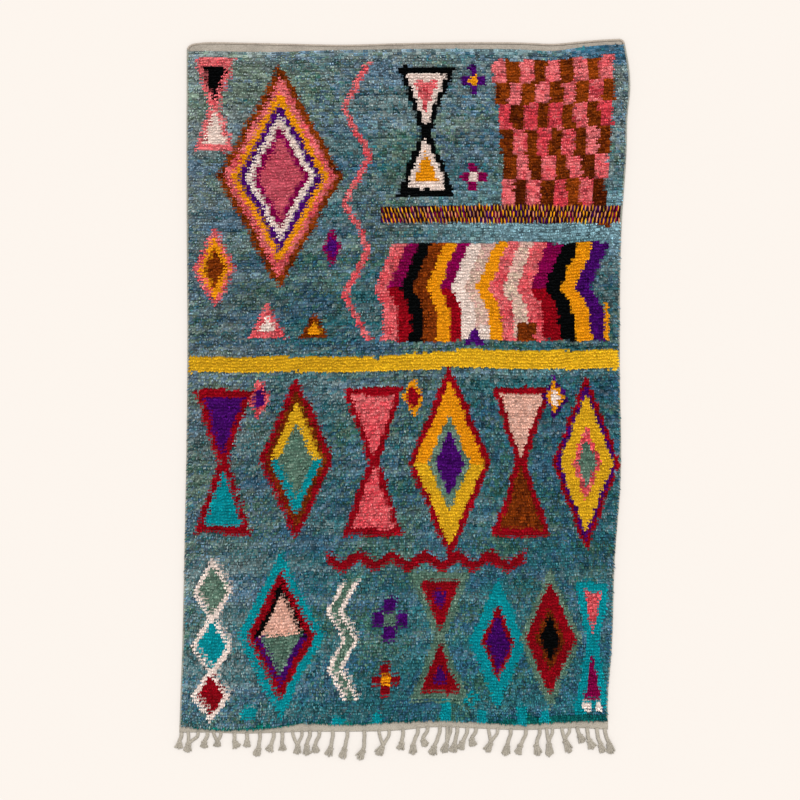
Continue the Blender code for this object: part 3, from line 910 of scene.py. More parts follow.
class NodeTree:
    """A node tree that is built in code."""

    def __init__(self, tree: bpy.types.NodeTree) -> None:
        """Keeps the tree."""
        self.tree = tree

    def node(
        self, kind: str, links: dict[object, object] | None = None, **options: object
    ) -> bpy.types.Node:
        """Adds a node.

        Args:
            kind: the node's type.
            links: for each input, by name or place, a socket to link or a value to set.
            options: the node's own settings.

        Returns:
            The node.
        """
        made = self.tree.nodes.new(kind)
        for key, value in options.items():
            setattr(made, key, value)
        for key, value in (links or {}).items():
            if isinstance(value, bpy.types.NodeSocket):
                self.tree.links.new(value, made.inputs[key])
            else:
                made.inputs[key].default_value = value
        return made

    def maths(self, operation: str, *values: object) -> bpy.types.NodeSocket:
        """The result of a Math node on some values or sockets."""
        return self.node("ShaderNodeMath", dict(enumerate(values)), operation=operation).outputs[0]

    def scaled(self, vector: bpy.types.NodeSocket, factor: bpy.types.NodeSocket) -> bpy.types.NodeSocket:
        """A vector or a colour times a factor."""
        return self.node("ShaderNodeVectorMath", {0: vector, "Scale": factor}, operation="SCALE").outputs[0]


class GeometryTree(NodeTree):
    """A geometry node tree with named inputs."""

    def __init__(self, name: str, inputs: tuple[Input, ...]) -> None:
        """Makes the tree with its inputs and its one output.

        Args:
            name: the tree's name.
            inputs: the inputs after the geometry.
        """
        super().__init__(bpy.data.node_groups.new(name, "GeometryNodeTree"))
        self.tree.interface.new_socket("Geometry", in_out="INPUT", socket_type="NodeSocketGeometry")
        for entry in inputs:
            socket = self.tree.interface.new_socket(entry.name, in_out="INPUT", socket_type=entry.kind)
            if entry.default is not None:
                socket.default_value = entry.default
        self.tree.interface.new_socket("Geometry", in_out="OUTPUT", socket_type="NodeSocketGeometry")
        self.given = self.tree.nodes.new("NodeGroupInput").outputs
        self.output = self.tree.nodes.new("NodeGroupOutput")

    def attribute(self, name: str, kind: str = "FLOAT") -> bpy.types.NodeSocket:
        """The values of a named attribute."""
        made = self.node("GeometryNodeInputNamedAttribute", {"Name": name}, data_type=kind)
        return made.outputs["Attribute"]

    def stored(
        self, geometry: bpy.types.NodeSocket, name: str, value: bpy.types.NodeSocket,
        kind: str = "FLOAT", domain: str = "POINT",
    ) -> bpy.types.NodeSocket:
        """The geometry with a named attribute stored on it."""
        links = {"Geometry": geometry, "Name": name, "Value": value}
        return self.node("GeometryNodeStoreNamedAttribute", links, data_type=kind, domain=domain).outputs[0]

    def moved(self, geometry: bpy.types.NodeSocket, offset: bpy.types.NodeSocket) -> bpy.types.NodeSocket:
        """The geometry with its points moved by an offset."""
        return self.node("GeometryNodeSetPosition", {"Geometry": geometry, "Offset": offset}).outputs[0]

    def drawn(self, low: object, high: object, draw: bpy.types.NodeSocket) -> bpy.types.NodeSocket:
        """A random number for each point."""
        links = {2: low, 3: high, "Seed": draw}
        return self.node("FunctionNodeRandomValue", links, data_type="FLOAT").outputs[1]

    def finish(self, geometry: bpy.types.NodeSocket, material: bpy.types.NodeSocket) -> None:
        """Ends the tree in realized instances with the material set."""
        real = self.node("GeometryNodeRealizeInstances", {"Geometry": geometry})
        smooth = self.node("GeometryNodeSetShadeSmooth", {"Geometry": real.outputs[0]})
        dressed = self.node("GeometryNodeSetMaterial", {"Geometry": smooth.outputs[0], "Material": material})
        self.tree.links.new(dressed.outputs[0], self.output.inputs[0])

    def apply_to(self, obj: bpy.types.Object, name: str, values: dict[str, object]) -> bpy.types.Object:
        """Runs the tree on an object and keeps the result as a plain mesh.

        Args:
            obj: the object that the tree starts from, which is removed afterwards.
            name: the name of the finished piece.
            values: the values of the tree's inputs.

        Returns:
            The finished piece.
        """
        modifier = obj.modifiers.new(self.tree.name, "NODES")
        modifier.node_group = self.tree
        sockets = {item.name: item for item in self.tree.interface.items_tree if item.in_out == "INPUT"}
        for key, value in values.items():
            modifier[sockets[key].identifier] = value
        depsgraph = bpy.context.evaluated_depsgraph_get()
        mesh = bpy.data.meshes.new_from_object(obj.evaluated_get(depsgraph), depsgraph=depsgraph)
        obj.modifiers.remove(modifier)
        bpy.data.objects.remove(obj, do_unlink=True)
        mesh.name = name
        return link_piece(name, mesh)


def link_piece(name: str, mesh: bpy.types.Mesh) -> bpy.types.Object:
    """An object of a mesh, in the scene."""
    obj = bpy.data.objects.new(name, mesh)
    bpy.context.scene.collection.objects.link(obj)
    return obj


def mesh_from(
    name: str,
    points: np.ndarray,
    faces: list[tuple[int, ...]] | None = None,
    edges: list[tuple[int, int]] | None = None,
) -> bpy.types.Mesh:
    """A mesh of some points with its faces or edges."""
    mesh = bpy.data.meshes.new(name)
    mesh.from_pydata([tuple(map(float, point)) for point in points], edges or [], faces or [])
    mesh.update()
    return mesh


def put_attribute(
    mesh: bpy.types.Mesh, name: str, kind: str, values: np.ndarray, domain: str = "POINT"
) -> None:
    """Stores an attribute on a mesh.

    Args:
        mesh: the mesh.
        name: the attribute's name.
        kind: its data type.
        values: its values, one row for each element.
        domain: where it lies.
    """
    layer = mesh.attributes.new(name, kind, domain)
    layer.data.foreach_set(ATTRIBUTE_FIELDS[kind], np.ascontiguousarray(values).ravel())


def put_level(mesh: bpy.types.Mesh, rise: float) -> None:
    """Stores how high in the pile a whole mesh reads, for the finish's painted shade, in a thread of middle
    tone.
    """
    count = len(mesh.vertices)
    put_attribute(mesh, "rise", "FLOAT", np.full(count, rise))
    put_attribute(mesh, "strand", "FLOAT", np.full(count, MIDDLE_TONE))


def keep_pile_layers(mesh: bpy.types.Mesh) -> None:
    """Removes a mesh's own attributes except the pile's, the bake map and what the mesh itself needs."""
    kept = {*PILE_LAYERS, BAKE_MAP, "position", "sharp_face", "material_index"}
    for name in [layer.name for layer in mesh.attributes if not layer.is_internal]:
        if name not in kept and not name.startswith("."):
            mesh.attributes.remove(mesh.attributes[name])


class ShaderTree(NodeTree):
    """The node tree of a material or a shader group."""

    def span(self, value: bpy.types.NodeSocket, low: float, high: float) -> bpy.types.NodeSocket:
        """A value from 0 to 1 spread from low to high."""
        return self.node("ShaderNodeMapRange", {"Value": value, "To Min": low, "To Max": high}).outputs[0]

    def noise(self, place: bpy.types.NodeSocket, scale: float, detail: float) -> bpy.types.NodeSocket:
        """The value of a noise texture."""
        links = {"Vector": place, "Scale": scale, "Detail": detail}
        return self.node("ShaderNodeTexNoise", links).outputs[0]


@dataclass(frozen=True)
class Mottle:
    """A mottled tone of two noises, each with its scale and detail."""

    name: str
    first: tuple[float, float]
    second: tuple[float, float]
    first_share: float = 0.6
    second_share: float = 0.4
    gain: float = 4.0

    def group(self) -> bpy.types.NodeTree:
        """The shader group, made once, with Scale and Contrast in, and Tone and Height out."""
        if self.name in bpy.data.node_groups:
            return bpy.data.node_groups[self.name]
        group = bpy.data.node_groups.new(self.name, "ShaderNodeTree")
        ways = {"Scale": "INPUT", "Contrast": "INPUT", "Tone": "OUTPUT", "Height": "OUTPUT"}
        for key, way in ways.items():
            group.interface.new_socket(key, in_out=way, socket_type="NodeSocketFloat")
        tree = ShaderTree(group)
        given = tree.node("NodeGroupInput").outputs
        place = tree.scaled(tree.node("ShaderNodeTexCoord").outputs["Object"], given["Scale"])
        first = tree.maths("MULTIPLY", tree.noise(place, *self.first), self.first_share)
        second = tree.maths("MULTIPLY", tree.noise(place, *self.second), self.second_share)
        both = tree.maths("ADD", first, second)
        spread = tree.maths("MULTIPLY", tree.maths("SUBTRACT", both, 0.5), given["Contrast"])
        tone = tree.maths("MULTIPLY_ADD", spread, self.gain, 1.0)
        tree.node("NodeGroupOutput", {"Tone": tone, "Height": both})
        return group

    def place_in(self, tree: ShaderTree, scale: float, contrast: float) -> bpy.types.Node:
        """Places the group in a material's tree."""
        return tree.node("ShaderNodeGroup", {"Scale": scale, "Contrast": contrast}, node_tree=self.group())


FIBRE = Mottle("wool fibre", (900.0, 3.0), (260.0, 2.0))
WEAR = Mottle("handspun wear", (14.0, 3.0), (90.0, 2.0))


@dataclass(frozen=True)
class Finish:
    """What every wool finish shares: a name, how rough it is, its sheen and its bump."""

    name: str
    roughness: float = 0.92
    sheen: float = 0.015
    sheen_roughness: float = 0.5
    specular: float = 0.02
    bump: float = 0.5
    bump_distance: float = 0.0012
    fibre_scale: float = 1.0
    contrast: float = 0.20

    def begin(self) -> tuple[bpy.types.Material, ShaderTree, bpy.types.Node, bpy.types.Node]:
        """Makes the material with its shader, and places the fibre group.

        Returns:
            The material, its tree, its shader and the fibre group's node.
        """
        material = bpy.data.materials.new(self.name)
        material.use_nodes = True
        tree = ShaderTree(material.node_tree)
        shader = material.node_tree.nodes["Principled BSDF"]
        surface = {
            "Roughness": self.roughness, "Sheen Weight": self.sheen,
            "Sheen Roughness": self.sheen_roughness, "Specular IOR Level": self.specular,
        }
        for key, value in surface.items():
            shader.inputs[key].default_value = value
        fibre = FIBRE.place_in(tree, self.fibre_scale, self.contrast)
        links = {"Height": fibre.outputs["Height"], "Strength": self.bump, "Distance": self.bump_distance}
        bump = tree.node("ShaderNodeBump", links)
        tree.tree.links.new(bump.outputs[0], shader.inputs["Normal"])
        return material, tree, shader, fibre


@dataclass(frozen=True)
class DyedPile(Finish):
    """The pile's wool: knots' own colours, painted shade at the root, a tip paler by painted light and faded
    wool.
    """

    # painted shade low in the pile, and at the tip painted light together with the tips' own faded wool
    root_shade: float = 0.42
    tip_shade: float = 1.18
    dark_thread: float = 0.84
    light_thread: float = 1.16

    def material(self) -> bpy.types.Material:
        """The finished material."""
        material, tree, shader, fibre = self.begin()
        rise, strand, wool = (tree.node("ShaderNodeAttribute", attribute_name=name) for name in PILE_LAYERS)
        # painted shade and light: the colour is darkened near the root where the tufts shade each other, and
        # lightened at the tip
        depth = tree.span(rise.outputs["Fac"], self.root_shade, self.tip_shade)
        thread = tree.span(strand.outputs["Fac"], self.dark_thread, self.light_thread)
        factor = tree.maths("MULTIPLY", tree.maths("MULTIPLY", depth, thread), fibre.outputs["Tone"])
        tree.tree.links.new(tree.scaled(wool.outputs["Color"], factor), shader.inputs["Base Color"])
        return material


@dataclass(frozen=True)
class UndyedYarn(Finish):
    """Undyed handspun yarn, with slow changes of tone."""

    light: str = "#b3a8a0"
    dark: str = "#8f857b"
    wear: float = 0.22
    dark_stop: float = 0.30
    light_stop: float = 0.65

    def material(self) -> bpy.types.Material:
        """The finished material."""
        material, tree, shader, fibre = self.begin()
        worn = WEAR.place_in(tree, 1.0, self.wear)
        factor = tree.maths("MULTIPLY", worn.outputs["Tone"], fibre.outputs["Tone"])
        ramped = tree.node("ShaderNodeValToRGB", {"Fac": fibre.outputs["Height"]})
        stops = ((self.dark_stop, self.dark), (self.light_stop, self.light))
        for element, (stop, code) in zip(ramped.color_ramp.elements, stops):
            element.position = stop
            element.color = (*linear(code), 1.0)
        tree.tree.links.new(tree.scaled(ramped.outputs[0], factor), shader.inputs["Base Color"])
        return material


def tuft_tree() -> GeometryTree:
    """The tree that sets a tuft on each knot and bends it the way the knot says.

    Returns:
        The tree. Its points carry the attributes reach, height, left_end, right_end and cell.
    """
    tree = GeometryTree("knotted tufts", (
        Input("Tufts", "NodeSocketCollection"),
        Input("Kinds", "NodeSocketInt", 8),
        Input("Thinnest", "NodeSocketFloat", 0.85),
        Input("Thickest", "NodeSocketFloat", 1.15),
        Input("Twist", "NodeSocketFloat", 0.38),
        Input("Bend", "NodeSocketFloat", 1.45),
        Input("Cell", "NodeSocketFloat", 0.01),
        Input("Seed", "NodeSocketInt", 0),
        Input("Wool", "NodeSocketMaterial"),
    ))
    given = tree.given
    source = tree.node("GeometryNodeCollectionInfo", {
        "Collection": given["Tufts"], "Separate Children": True, "Reset Children": True,
    })
    last = tree.maths("SUBTRACT", given["Kinds"], 1)
    kind = tree.node("FunctionNodeRandomValue", {4: 0, 5: last, "Seed": given["Seed"]}, data_type="INT")
    thick = tree.drawn(given["Thinnest"], given["Thickest"], tree.maths("ADD", given["Seed"], 1))
    back = tree.maths("MULTIPLY", given["Twist"], -1.0)
    turn = tree.drawn(back, given["Twist"], tree.maths("ADD", given["Seed"], 2))
    size = tree.node("ShaderNodeCombineXYZ", {"X": thick, "Y": thick, "Z": tree.attribute("height")})
    heading = tree.node("ShaderNodeCombineXYZ", {"Z": turn})
    tufts = tree.node("GeometryNodeInstanceOnPoints", {
        "Points": given["Geometry"], "Instance": source.outputs[0], "Pick Instance": True,
        "Instance Index": kind.outputs[2], "Rotation": heading.outputs[0], "Scale": size.outputs[0],
    })
    real = tree.node("GeometryNodeRealizeInstances", {"Geometry": tufts.outputs[0]})
    bend = tree.maths("POWER", tree.attribute("rise"), given["Bend"])
    bent = tree.moved(real.outputs[0], tree.scaled(tree.attribute("reach", "FLOAT_VECTOR"), bend))
    inside = tree.scaled(tree.attribute("tuft_map", "FLOAT_VECTOR"), given["Cell"])
    place = tree.node("ShaderNodeVectorMath", {0: tree.attribute("cell", "FLOAT_VECTOR"), 1: inside})
    mapped = tree.stored(bent, BAKE_MAP, place.outputs[0], "FLOAT2", "CORNER")
    colour = tree.node("GeometryNodeSwitch", {
        "Switch": tree.node("FunctionNodeCompare", {0: tree.attribute("end"), 1: 0.5}).outputs[0],
        "False": tree.attribute("left_end", "FLOAT_COLOR"),
        "True": tree.attribute("right_end", "FLOAT_COLOR"),
    }, input_type="RGBA")
    tree.finish(tree.stored(mapped, "wool", colour.outputs[0], "FLOAT_COLOR"), given["Wool"])
    return tree


def yarn_tree() -> GeometryTree:
    """The tree that lays a ridged round yarn along its routes.

    Returns:
        The tree. Its routes carry the attribute thick, the yarn's share of its full width.
    """
    tree = GeometryTree("ridged yarn", (
        Input("Width", "NodeSocketFloat", 0.009),
        Input("Height", "NodeSocketFloat", 0.008),
        Input("Turn", "NodeSocketFloat", 0.006),
        Input("Plies", "NodeSocketInt", 1),
        Input("Relief", "NodeSocketFloat", 0.0008),
        Input("Sides", "NodeSocketInt", 8),
        Input("Spacing", "NodeSocketFloat", 0.002),
        Input("Yarn", "NodeSocketMaterial"),
    ))
    given = tree.given
    line = tree.node("GeometryNodeMeshToCurve", {"Mesh": given["Geometry"]})
    even = {"Curve": line.outputs[0], "Length": given["Spacing"]}
    sampled = tree.node("GeometryNodeResampleCurve", even, mode="LENGTH")
    upright = tree.node("GeometryNodeSetCurveNormal", {"Curve": sampled.outputs[0]}, mode="Z_UP")
    wide = {"Curve": upright.outputs[0], "Radius": tree.attribute("thick")}
    sized = tree.node("GeometryNodeSetCurveRadius", wide)
    along = tree.node("GeometryNodeSplineParameter")
    path = tree.stored(sized.outputs[0], "run", along.outputs["Length"])
    ring = tree.node("GeometryNodeCurvePrimitiveCircle", {"Resolution": given["Sides"], "Radius": 0.5})
    size = tree.node("ShaderNodeCombineXYZ", {"X": given["Width"], "Y": given["Height"], "Z": 1.0})
    shaped = tree.node("GeometryNodeTransform", {"Geometry": ring.outputs[0], "Scale": size.outputs[0]})
    section = tree.stored(shaped.outputs[0], "round", along.outputs["Factor"])
    tube = tree.node("GeometryNodeCurveToMesh", {
        "Curve": path, "Profile Curve": section, "Scale": tree.attribute("thick"), "Fill Caps": True,
    })
    turns = tree.maths("DIVIDE", tree.attribute("run"), given["Turn"])
    plies = tree.maths("MULTIPLY", tree.attribute("round"), given["Plies"])
    phase = tree.maths("MULTIPLY", tree.maths("ADD", turns, plies), FULL_TURN)
    hollow = tree.maths("MULTIPLY", tree.maths("SUBTRACT", tree.maths("COSINE", phase), 1.0), 0.5)
    depth = tree.maths("MULTIPLY", tree.maths("MULTIPLY", hollow, given["Relief"]), tree.attribute("thick"))
    shift = tree.scaled(tree.node("GeometryNodeInputNormal").outputs[0], depth)
    tree.finish(tree.moved(tube.outputs[0], shift), given["Yarn"])
    return tree


FADE_ALONG = (
    (-1.15, 0.00), (-0.95, 0.05), (-0.75, 0.20), (-0.45, 0.20), (-0.10, 0.32), (0.10, 0.38),
    (0.35, 0.28), (0.65, 0.46), (0.95, 0.56), (1.15, 0.80), (1.27, 0.90),
)
LIGHT_ALONG = (
    (-1.20, 0.98), (-0.80, 0.96), (-0.45, 0.86), (-0.10, 0.84), (0.10, 0.86), (0.40, 0.82),
    (0.70, 0.92), (1.00, 0.98), (1.27, 1.08),
)


@dataclass
class Pile:
    """The knotted pile: tufts of two yarn ends on a grid of knots, in strips along the rug."""

    outline: RugOutline
    motifs: tuple[object, ...]
    rows: int = 218
    columns: int = 180
    strips: int = 5
    side_in: float = 0.0105
    end_in: float = 0.0085
    root_height: float = 0.004
    lean: float = 0.0110
    shown_share: float = 0.75
    overhang: float = 0.0022
    splay_reach: float = 0.022
    edge_height: float = 0.0125
    crowding: float = 0.45
    crowd_reach: float = 3.0
    kinds: int = 14
    end_apart: float = 0.0022
    end_radius: float = 0.0029
    belly_rise: float = 0.70
    cell_share: float = 0.96
    steel_share: float = 0.30
    sage_share: float = 0.12
    figure_share: float = 0.42
    figure_slope: float = 0.26
    place_scatter: tuple[float, float] = (0.0007, 0.0011)
    tip_scatter: tuple[float, float] = (0.0007, 0.0017)
    top_scatter: float = 0.0011
    row_scatter: float = 0.0012
    swirls: tuple[Drift, Drift] = (Drift(0.0028, 0.045, 0.030, 7.5), Drift(0.0028, 0.045, 0.030, 9.5))
    wander: Drift = Drift(0.0060, 0.11, 0.07, 12.5)
    waver: Drift = Drift(0.0050, 0.09, 0.20, 14.5)
    yarn_bands: Drift = Drift(1.0, 0.55, 0.022, 20.5)
    patches: Drift = Drift(0.26, 0.30, 0.16, 22.5)
    streaks: Drift = Drift(0.22, 0.40, 0.016, 24.5)
    clouds: Drift = Drift(0.14, 0.2, 0.2, 26.5)
    steel_lot: Drift = Drift(0.95, 0.22, 0.06, 28.5)
    sage_lot: Drift = Drift(0.85, 0.18, 0.13, 30.5)
    band_fading: float = 0.34
    band_paleness: float = 0.30
    knot_fading: float = 0.15
    end_fading: float = 0.26
    lot_mixing: float = 0.12
    knot_fleck: float = 0.5
    end_fleck: float = 0.95
    darkest: float = 0.40
    lightest: float = 1.9
    left_fading: float = 0.34
    right_fading: float = 0.10
    fresh_share: float = 0.24
    corner_freshness: float = 0.75
    green_share: float = 0.3
    pale_above: float = 0.4
    end_sides: int = 3
    foot_radius: float = 0.60
    foot_slack: float = 0.0008
    belly_slack: float = 0.0014
    belly_spread: tuple[float, float] = (0.8, 1.4)
    tip_rises: tuple[float, float] = (0.80, 1.0)
    tip_spread: tuple[float, float] = (0.6, 1.5)
    tip_slack: tuple[float, float] = (-0.0040, 0.0020)
    map_margin: float = 0.08
    map_foot: float = 0.05

    def crowded(self, shares: np.ndarray, count: int) -> np.ndarray:
        """Shares across or along with the outermost knots set closer, where their tufts part.

        Args:
            shares: the even shares.
            count: the number of knots in the line.

        Returns:
            The shares with the same first and last ones.
        """
        reach = self.crowd_reach / count
        moved = shares + self.crowding * reach * (np.exp(-shares / reach) - np.exp((shares - 1) / reach))
        spread = (moved - moved.min()) / (moved.max() - moved.min())
        return shares.min() + spread * (shares.max() - shares.min())

    def lay_out(self) -> None:
        """Works out every knot's place, its tuft's reach and height, and its colours."""
        rng = np.random.default_rng(SEED)
        i, j = np.meshgrid(np.arange(self.columns), np.arange(self.rows))
        u = self.crowded((i + 0.5) / self.columns, self.columns)
        v = self.crowded((j + 0.5) / self.rows, self.rows)
        x, y = self.outline.field_point(u, v, self.side_in, self.end_in)
        x = x + rng.normal(0, self.place_scatter[0], x.shape)
        y = y + rng.normal(0, self.place_scatter[1], y.shape)
        self.x, self.y, self.u = x, y, u
        self.lay_tips(rng)
        self.lay_colours(rng)

    def near(self, gap: np.ndarray) -> np.ndarray:
        """How near an edge a knot lies: 1 at the outermost knots and 0 past the splay's reach."""
        return np.clip(1 - (gap - gap.min()) / self.splay_reach, 0, 1) ** 2

    def lay_tips(self, rng: np.random.Generator) -> None:
        """Works out how far each tuft's tip lies from its root, and how high it is."""
        x, y, outline = self.x, self.y, self.outline
        gaps = {
            "left": x - outline.side("left", y),
            "right": outline.side("right", y) - x,
            "start": y - outline.end("pile_start", x),
            "end": outline.end("pile_end", x) - y,
        }
        near = {key: self.near(gap) for key, gap in gaps.items()}
        lean_x = near["right"] * (gaps["right"] - outline.side("bare_right", y) + self.overhang)
        lean_x = lean_x - near["left"] * (gaps["left"] - outline.side("bare_left", y) + self.overhang)
        lean_y = near["end"] * (gaps["end"] + self.lean) - self.lean
        lean_y = lean_y - near["start"] * np.maximum(gaps["start"] + self.overhang - self.lean, 0)
        self.shown_x = x + self.shown_share * lean_x
        self.shown_y = y + self.shown_share * lean_y
        swirl = [drift.at(x, y) for drift in self.swirls]
        reach_x = lean_x + swirl[0] + rng.normal(0, self.tip_scatter[0], x.shape)
        reach_y = lean_y + swirl[1] + rng.normal(0, self.tip_scatter[1], x.shape)
        edge = np.maximum.reduce(list(near.values()))
        top = outline.pile_top(x, y, self.u) + rng.normal(0, self.top_scatter, x.shape)
        top = top + (self.edge_height - top) * edge
        self.reach = np.stack([reach_x, reach_y, np.zeros_like(x)], -1)
        self.height = top - self.root_height

    def lay_colours(self, rng: np.random.Generator) -> None:
        """Charts the figures and works out the colour of each knot's two yarn ends."""
        shape = (self.rows, 2 * self.columns)
        x, y = np.repeat(self.shown_x, 2, axis=1), np.repeat(self.shown_y, 2, axis=1)
        row_shift = rng.normal(0, self.row_scatter, (self.rows, 1))
        blank = [np.zeros(shape, kind) for kind in (int, float, float)]
        chart = KnotChart(x + row_shift + self.wander.at(x, y), y + self.waver.at(x, y), *blank)
        for motif in self.motifs:
            motif.knot_into(chart)
        self.height -= chart.sunk[:, ::2]
        yarn_bands = self.yarn_bands.at(x, y)
        knot_fading = np.repeat(rng.normal(0, self.knot_fading, self.x.shape), 2, axis=1)
        field = chart.wool == WOOLS.index(Wool.TEAL)
        self.mix_lots(chart, field, rng)
        share = np.where(field, self.abrash(x, y), self.figure_share + self.figure_slope * y)
        share = share + self.band_fading * yarn_bands + self.patches.at(x, y) + knot_fading
        share = np.clip(share + chart.drift + rng.normal(0, self.end_fading, shape), 0, 1)[..., None]
        main = np.array([wool.main for wool in WOOLS])[chart.wool]
        drift = np.array([wool.drift for wool in WOOLS])[chart.wool]
        pale = np.clip(self.paleness(x, y) + self.band_paleness * yarn_bands, 0, 1)
        pale = np.where(field, pale, 0.0)[..., None]
        main = main + (Wool.PALE_TEAL.main - main) * pale
        drift = drift + (Wool.PALE_TEAL.drift - drift) * pale
        uneven = np.array([wool.unevenness for wool in WOOLS])[chart.wool]
        fleck = self.knot_fleck * np.repeat(rng.normal(0, 1, self.x.shape), 2, axis=1)
        fleck = fleck + self.end_fleck * rng.normal(0, 1, shape)
        light = np.clip(1 + fleck * uneven, self.darkest, self.lightest)
        light = light * np.where(field, self.depth(x, y), 1.0)
        self.colour = np.clip((main + (drift - main) * share) * light[..., None], 0, 1)

    def mix_lots(self, chart: KnotChart, field: np.ndarray, rng: np.random.Generator) -> None:
        """Spins two more lots of wool into the field, more in some patches than in others.

        Args:
            chart: the yarn ends.
            field: which of them belong to the field.
            rng: the source of the random draws.
        """
        x, y = chart.x, chart.y
        draw = np.repeat(rng.random(self.x.shape), 2, axis=1) + rng.normal(0, self.lot_mixing, field.shape)
        blue = self.corner(x, y)
        green = self.green_share * ramp(x, -0.30, -0.25) * ramp(y, 0.85, 0.25)
        steel = self.steel_share + self.steel_lot.at(x, y) + blue - green
        sage = self.sage_share + self.sage_lot.at(x, y) - blue + green
        chart.lay(field & (draw < steel), Wool.STEEL)
        chart.lay(field & (draw > 1 - sage), Wool.SAGE)

    def abrash(self, x: np.ndarray, y: np.ndarray) -> np.ndarray:
        """How far the field's wool has faded to grey: most at the heading and along the left side."""
        along = np.interp(y, *zip(*FADE_ALONG))
        sides = self.left_fading * ramp(x, -0.40, -0.28) + self.right_fading * ramp(x, 0.60, 0.15)
        fresh = self.fresh_share * ramp(x, -0.15, 0.40) * ramp(y, 0.30, -0.25)
        return along + sides - fresh - self.corner_freshness * self.corner(x, y)

    def corner(self, x: np.ndarray, y: np.ndarray) -> np.ndarray:
        """How much of the field's wool is the deep blue lot of the right corner at the heading."""
        return ramp(x, 0.42, 0.35) * ramp(y, 1.19, 0.05)

    def depth(self, x: np.ndarray, y: np.ndarray) -> np.ndarray:
        """How much light the field's wool keeps: least on both sides of the yellow stripe, in streaks."""
        return np.interp(y, *zip(*LIGHT_ALONG)) * (1 + self.streaks.at(x, y) + self.clouds.at(x, y))

    def paleness(self, x: np.ndarray, y: np.ndarray) -> np.ndarray:
        """How much of the field's wool is the pale blue lot, under the checkers and above them."""
        above = np.maximum(self.pale_above * ramp(y, 1.19, 0.05) - self.corner(x, y), 0)
        return ramp(x, 0.02, 0.36) * (np.exp(-(((y - 0.64) / 0.11) ** 2)) + above)

    def tuft_kinds(self) -> bpy.types.Collection:
        """The kinds of tuft, each two blunt three-sided yarn ends of unit height."""
        rng = random.Random(SEED)
        collection = bpy.data.collections.new("tuft kinds")
        bpy.context.scene.collection.children.link(collection)
        sides = range(self.end_sides)
        size = 2 * self.end_sides + 1
        for kind in range(self.kinds):
            points, faces, rises, strands, ends, places = [], [], [], [], [], []
            for number, way in enumerate((-1, 1)):
                tip_rise = rng.uniform(*self.tip_rises)
                belly = self.belly_rise * tip_rise
                apart = way * self.end_apart
                base = (apart, rng.uniform(-self.foot_slack, self.foot_slack))
                bulge = apart * rng.uniform(*self.belly_spread)
                middle = (bulge, rng.uniform(-self.belly_slack, self.belly_slack))
                tip = (apart * rng.uniform(*self.tip_spread), rng.uniform(*self.tip_slack))
                low = len(points)
                high, peak = low + self.end_sides, low + 2 * self.end_sides
                turn = rng.uniform(0, FULL_TURN)
                tone = rng.random()
                for centre, radius, rise in ((base, self.foot_radius, 0.0), (middle, 1.0, belly)):
                    for side in sides:
                        angle = turn + side * FULL_TURN / self.end_sides
                        points.append((centre[0] + self.end_radius * radius * math.cos(angle),
                                       centre[1] + self.end_radius * radius * math.sin(angle), rise))
                        rises.append(rise)
                points.append((*tip, tip_rise))
                rises.append(tip_rise)
                strands += [tone] * size
                ends += [float(number)] * size
                faces.append(tuple(low + side % self.end_sides for side in range(self.end_sides, 0, -1)))
                mapped = [[(0.5, 0.0)] * self.end_sides]
                for side in sides:
                    after = (side + 1) % self.end_sides
                    faces.append((low + side, low + after, high + after, high + side))
                    mapped.append([(0.0, self.map_foot), (1.0, self.map_foot), (1.0, belly), (0.0, belly)])
                    faces.append((high + side, high + after, peak))
                    mapped.append([(0.0, belly), (1.0, belly), (0.5, 1.0)])
                span = 1 - 2 * self.map_margin
                for face in mapped:
                    places.append([(0.5 * (number + self.map_margin + span * a), b) for a, b in face])
            mesh = mesh_from(f"tuft kind {kind}", np.array(points), faces)
            put_attribute(mesh, "rise", "FLOAT", np.array(rises))
            put_attribute(mesh, "strand", "FLOAT", np.array(strands))
            put_attribute(mesh, "end", "FLOAT", np.array(ends))
            flat = np.array([(a, b, 0.0) for face in places for a, b in face])
            put_attribute(mesh, "tuft_map", "FLOAT_VECTOR", flat, "CORNER")
            collection.objects.link(bpy.data.objects.new(f"tuft kind {kind:02d}", mesh))
        return collection

    def build(self, material: bpy.types.Material) -> list[bpy.types.Object]:
        """Makes the strips of tufts.

        Args:
            material: the pile's finish.

        Returns:
            The strips from left to right.
        """
        kinds = self.tuft_kinds()
        tree = tuft_tree()
        made = []
        wide = self.columns // self.strips
        for strip in range(self.strips):
            part = slice(strip * wide, (strip + 1) * wide)
            x, y = self.x[:, part].ravel(), self.y[:, part].ravel()
            points = np.stack([x, y, np.full_like(x, self.root_height)], -1)
            mesh = mesh_from(f"knots {strip + 1}", points)
            cells = math.ceil(math.sqrt(len(x)))
            number = np.arange(len(x))
            cell = np.stack([number % cells, number // cells, np.zeros_like(number)], -1) / cells
            put_attribute(mesh, "reach", "FLOAT_VECTOR", self.reach[:, part].reshape(-1, 3))
            put_attribute(mesh, "height", "FLOAT", self.height[:, part].ravel())
            put_attribute(mesh, "cell", "FLOAT_VECTOR", cell)
            for number, name in enumerate(("left_end", "right_end")):
                ends = self.colour[:, 2 * part.start + number : 2 * part.stop : 2].reshape(-1, 3)
                put_attribute(mesh, name, "FLOAT_COLOR", np.concatenate([ends, np.ones((len(x), 1))], 1))
            piece = tree.apply_to(link_piece(mesh.name, mesh), f"pile_strip_{strip + 1}", {
                "Tufts": kinds, "Kinds": self.kinds, "Cell": self.cell_share / cells,
                "Seed": SEED + 10 * strip, "Wool": material,
            })
            keep_pile_layers(piece.data)
            made.append(piece)
        for tuft in list(kinds.objects):
            bpy.data.objects.remove(tuft, do_unlink=True)
        bpy.data.collections.remove(kinds)
        return made


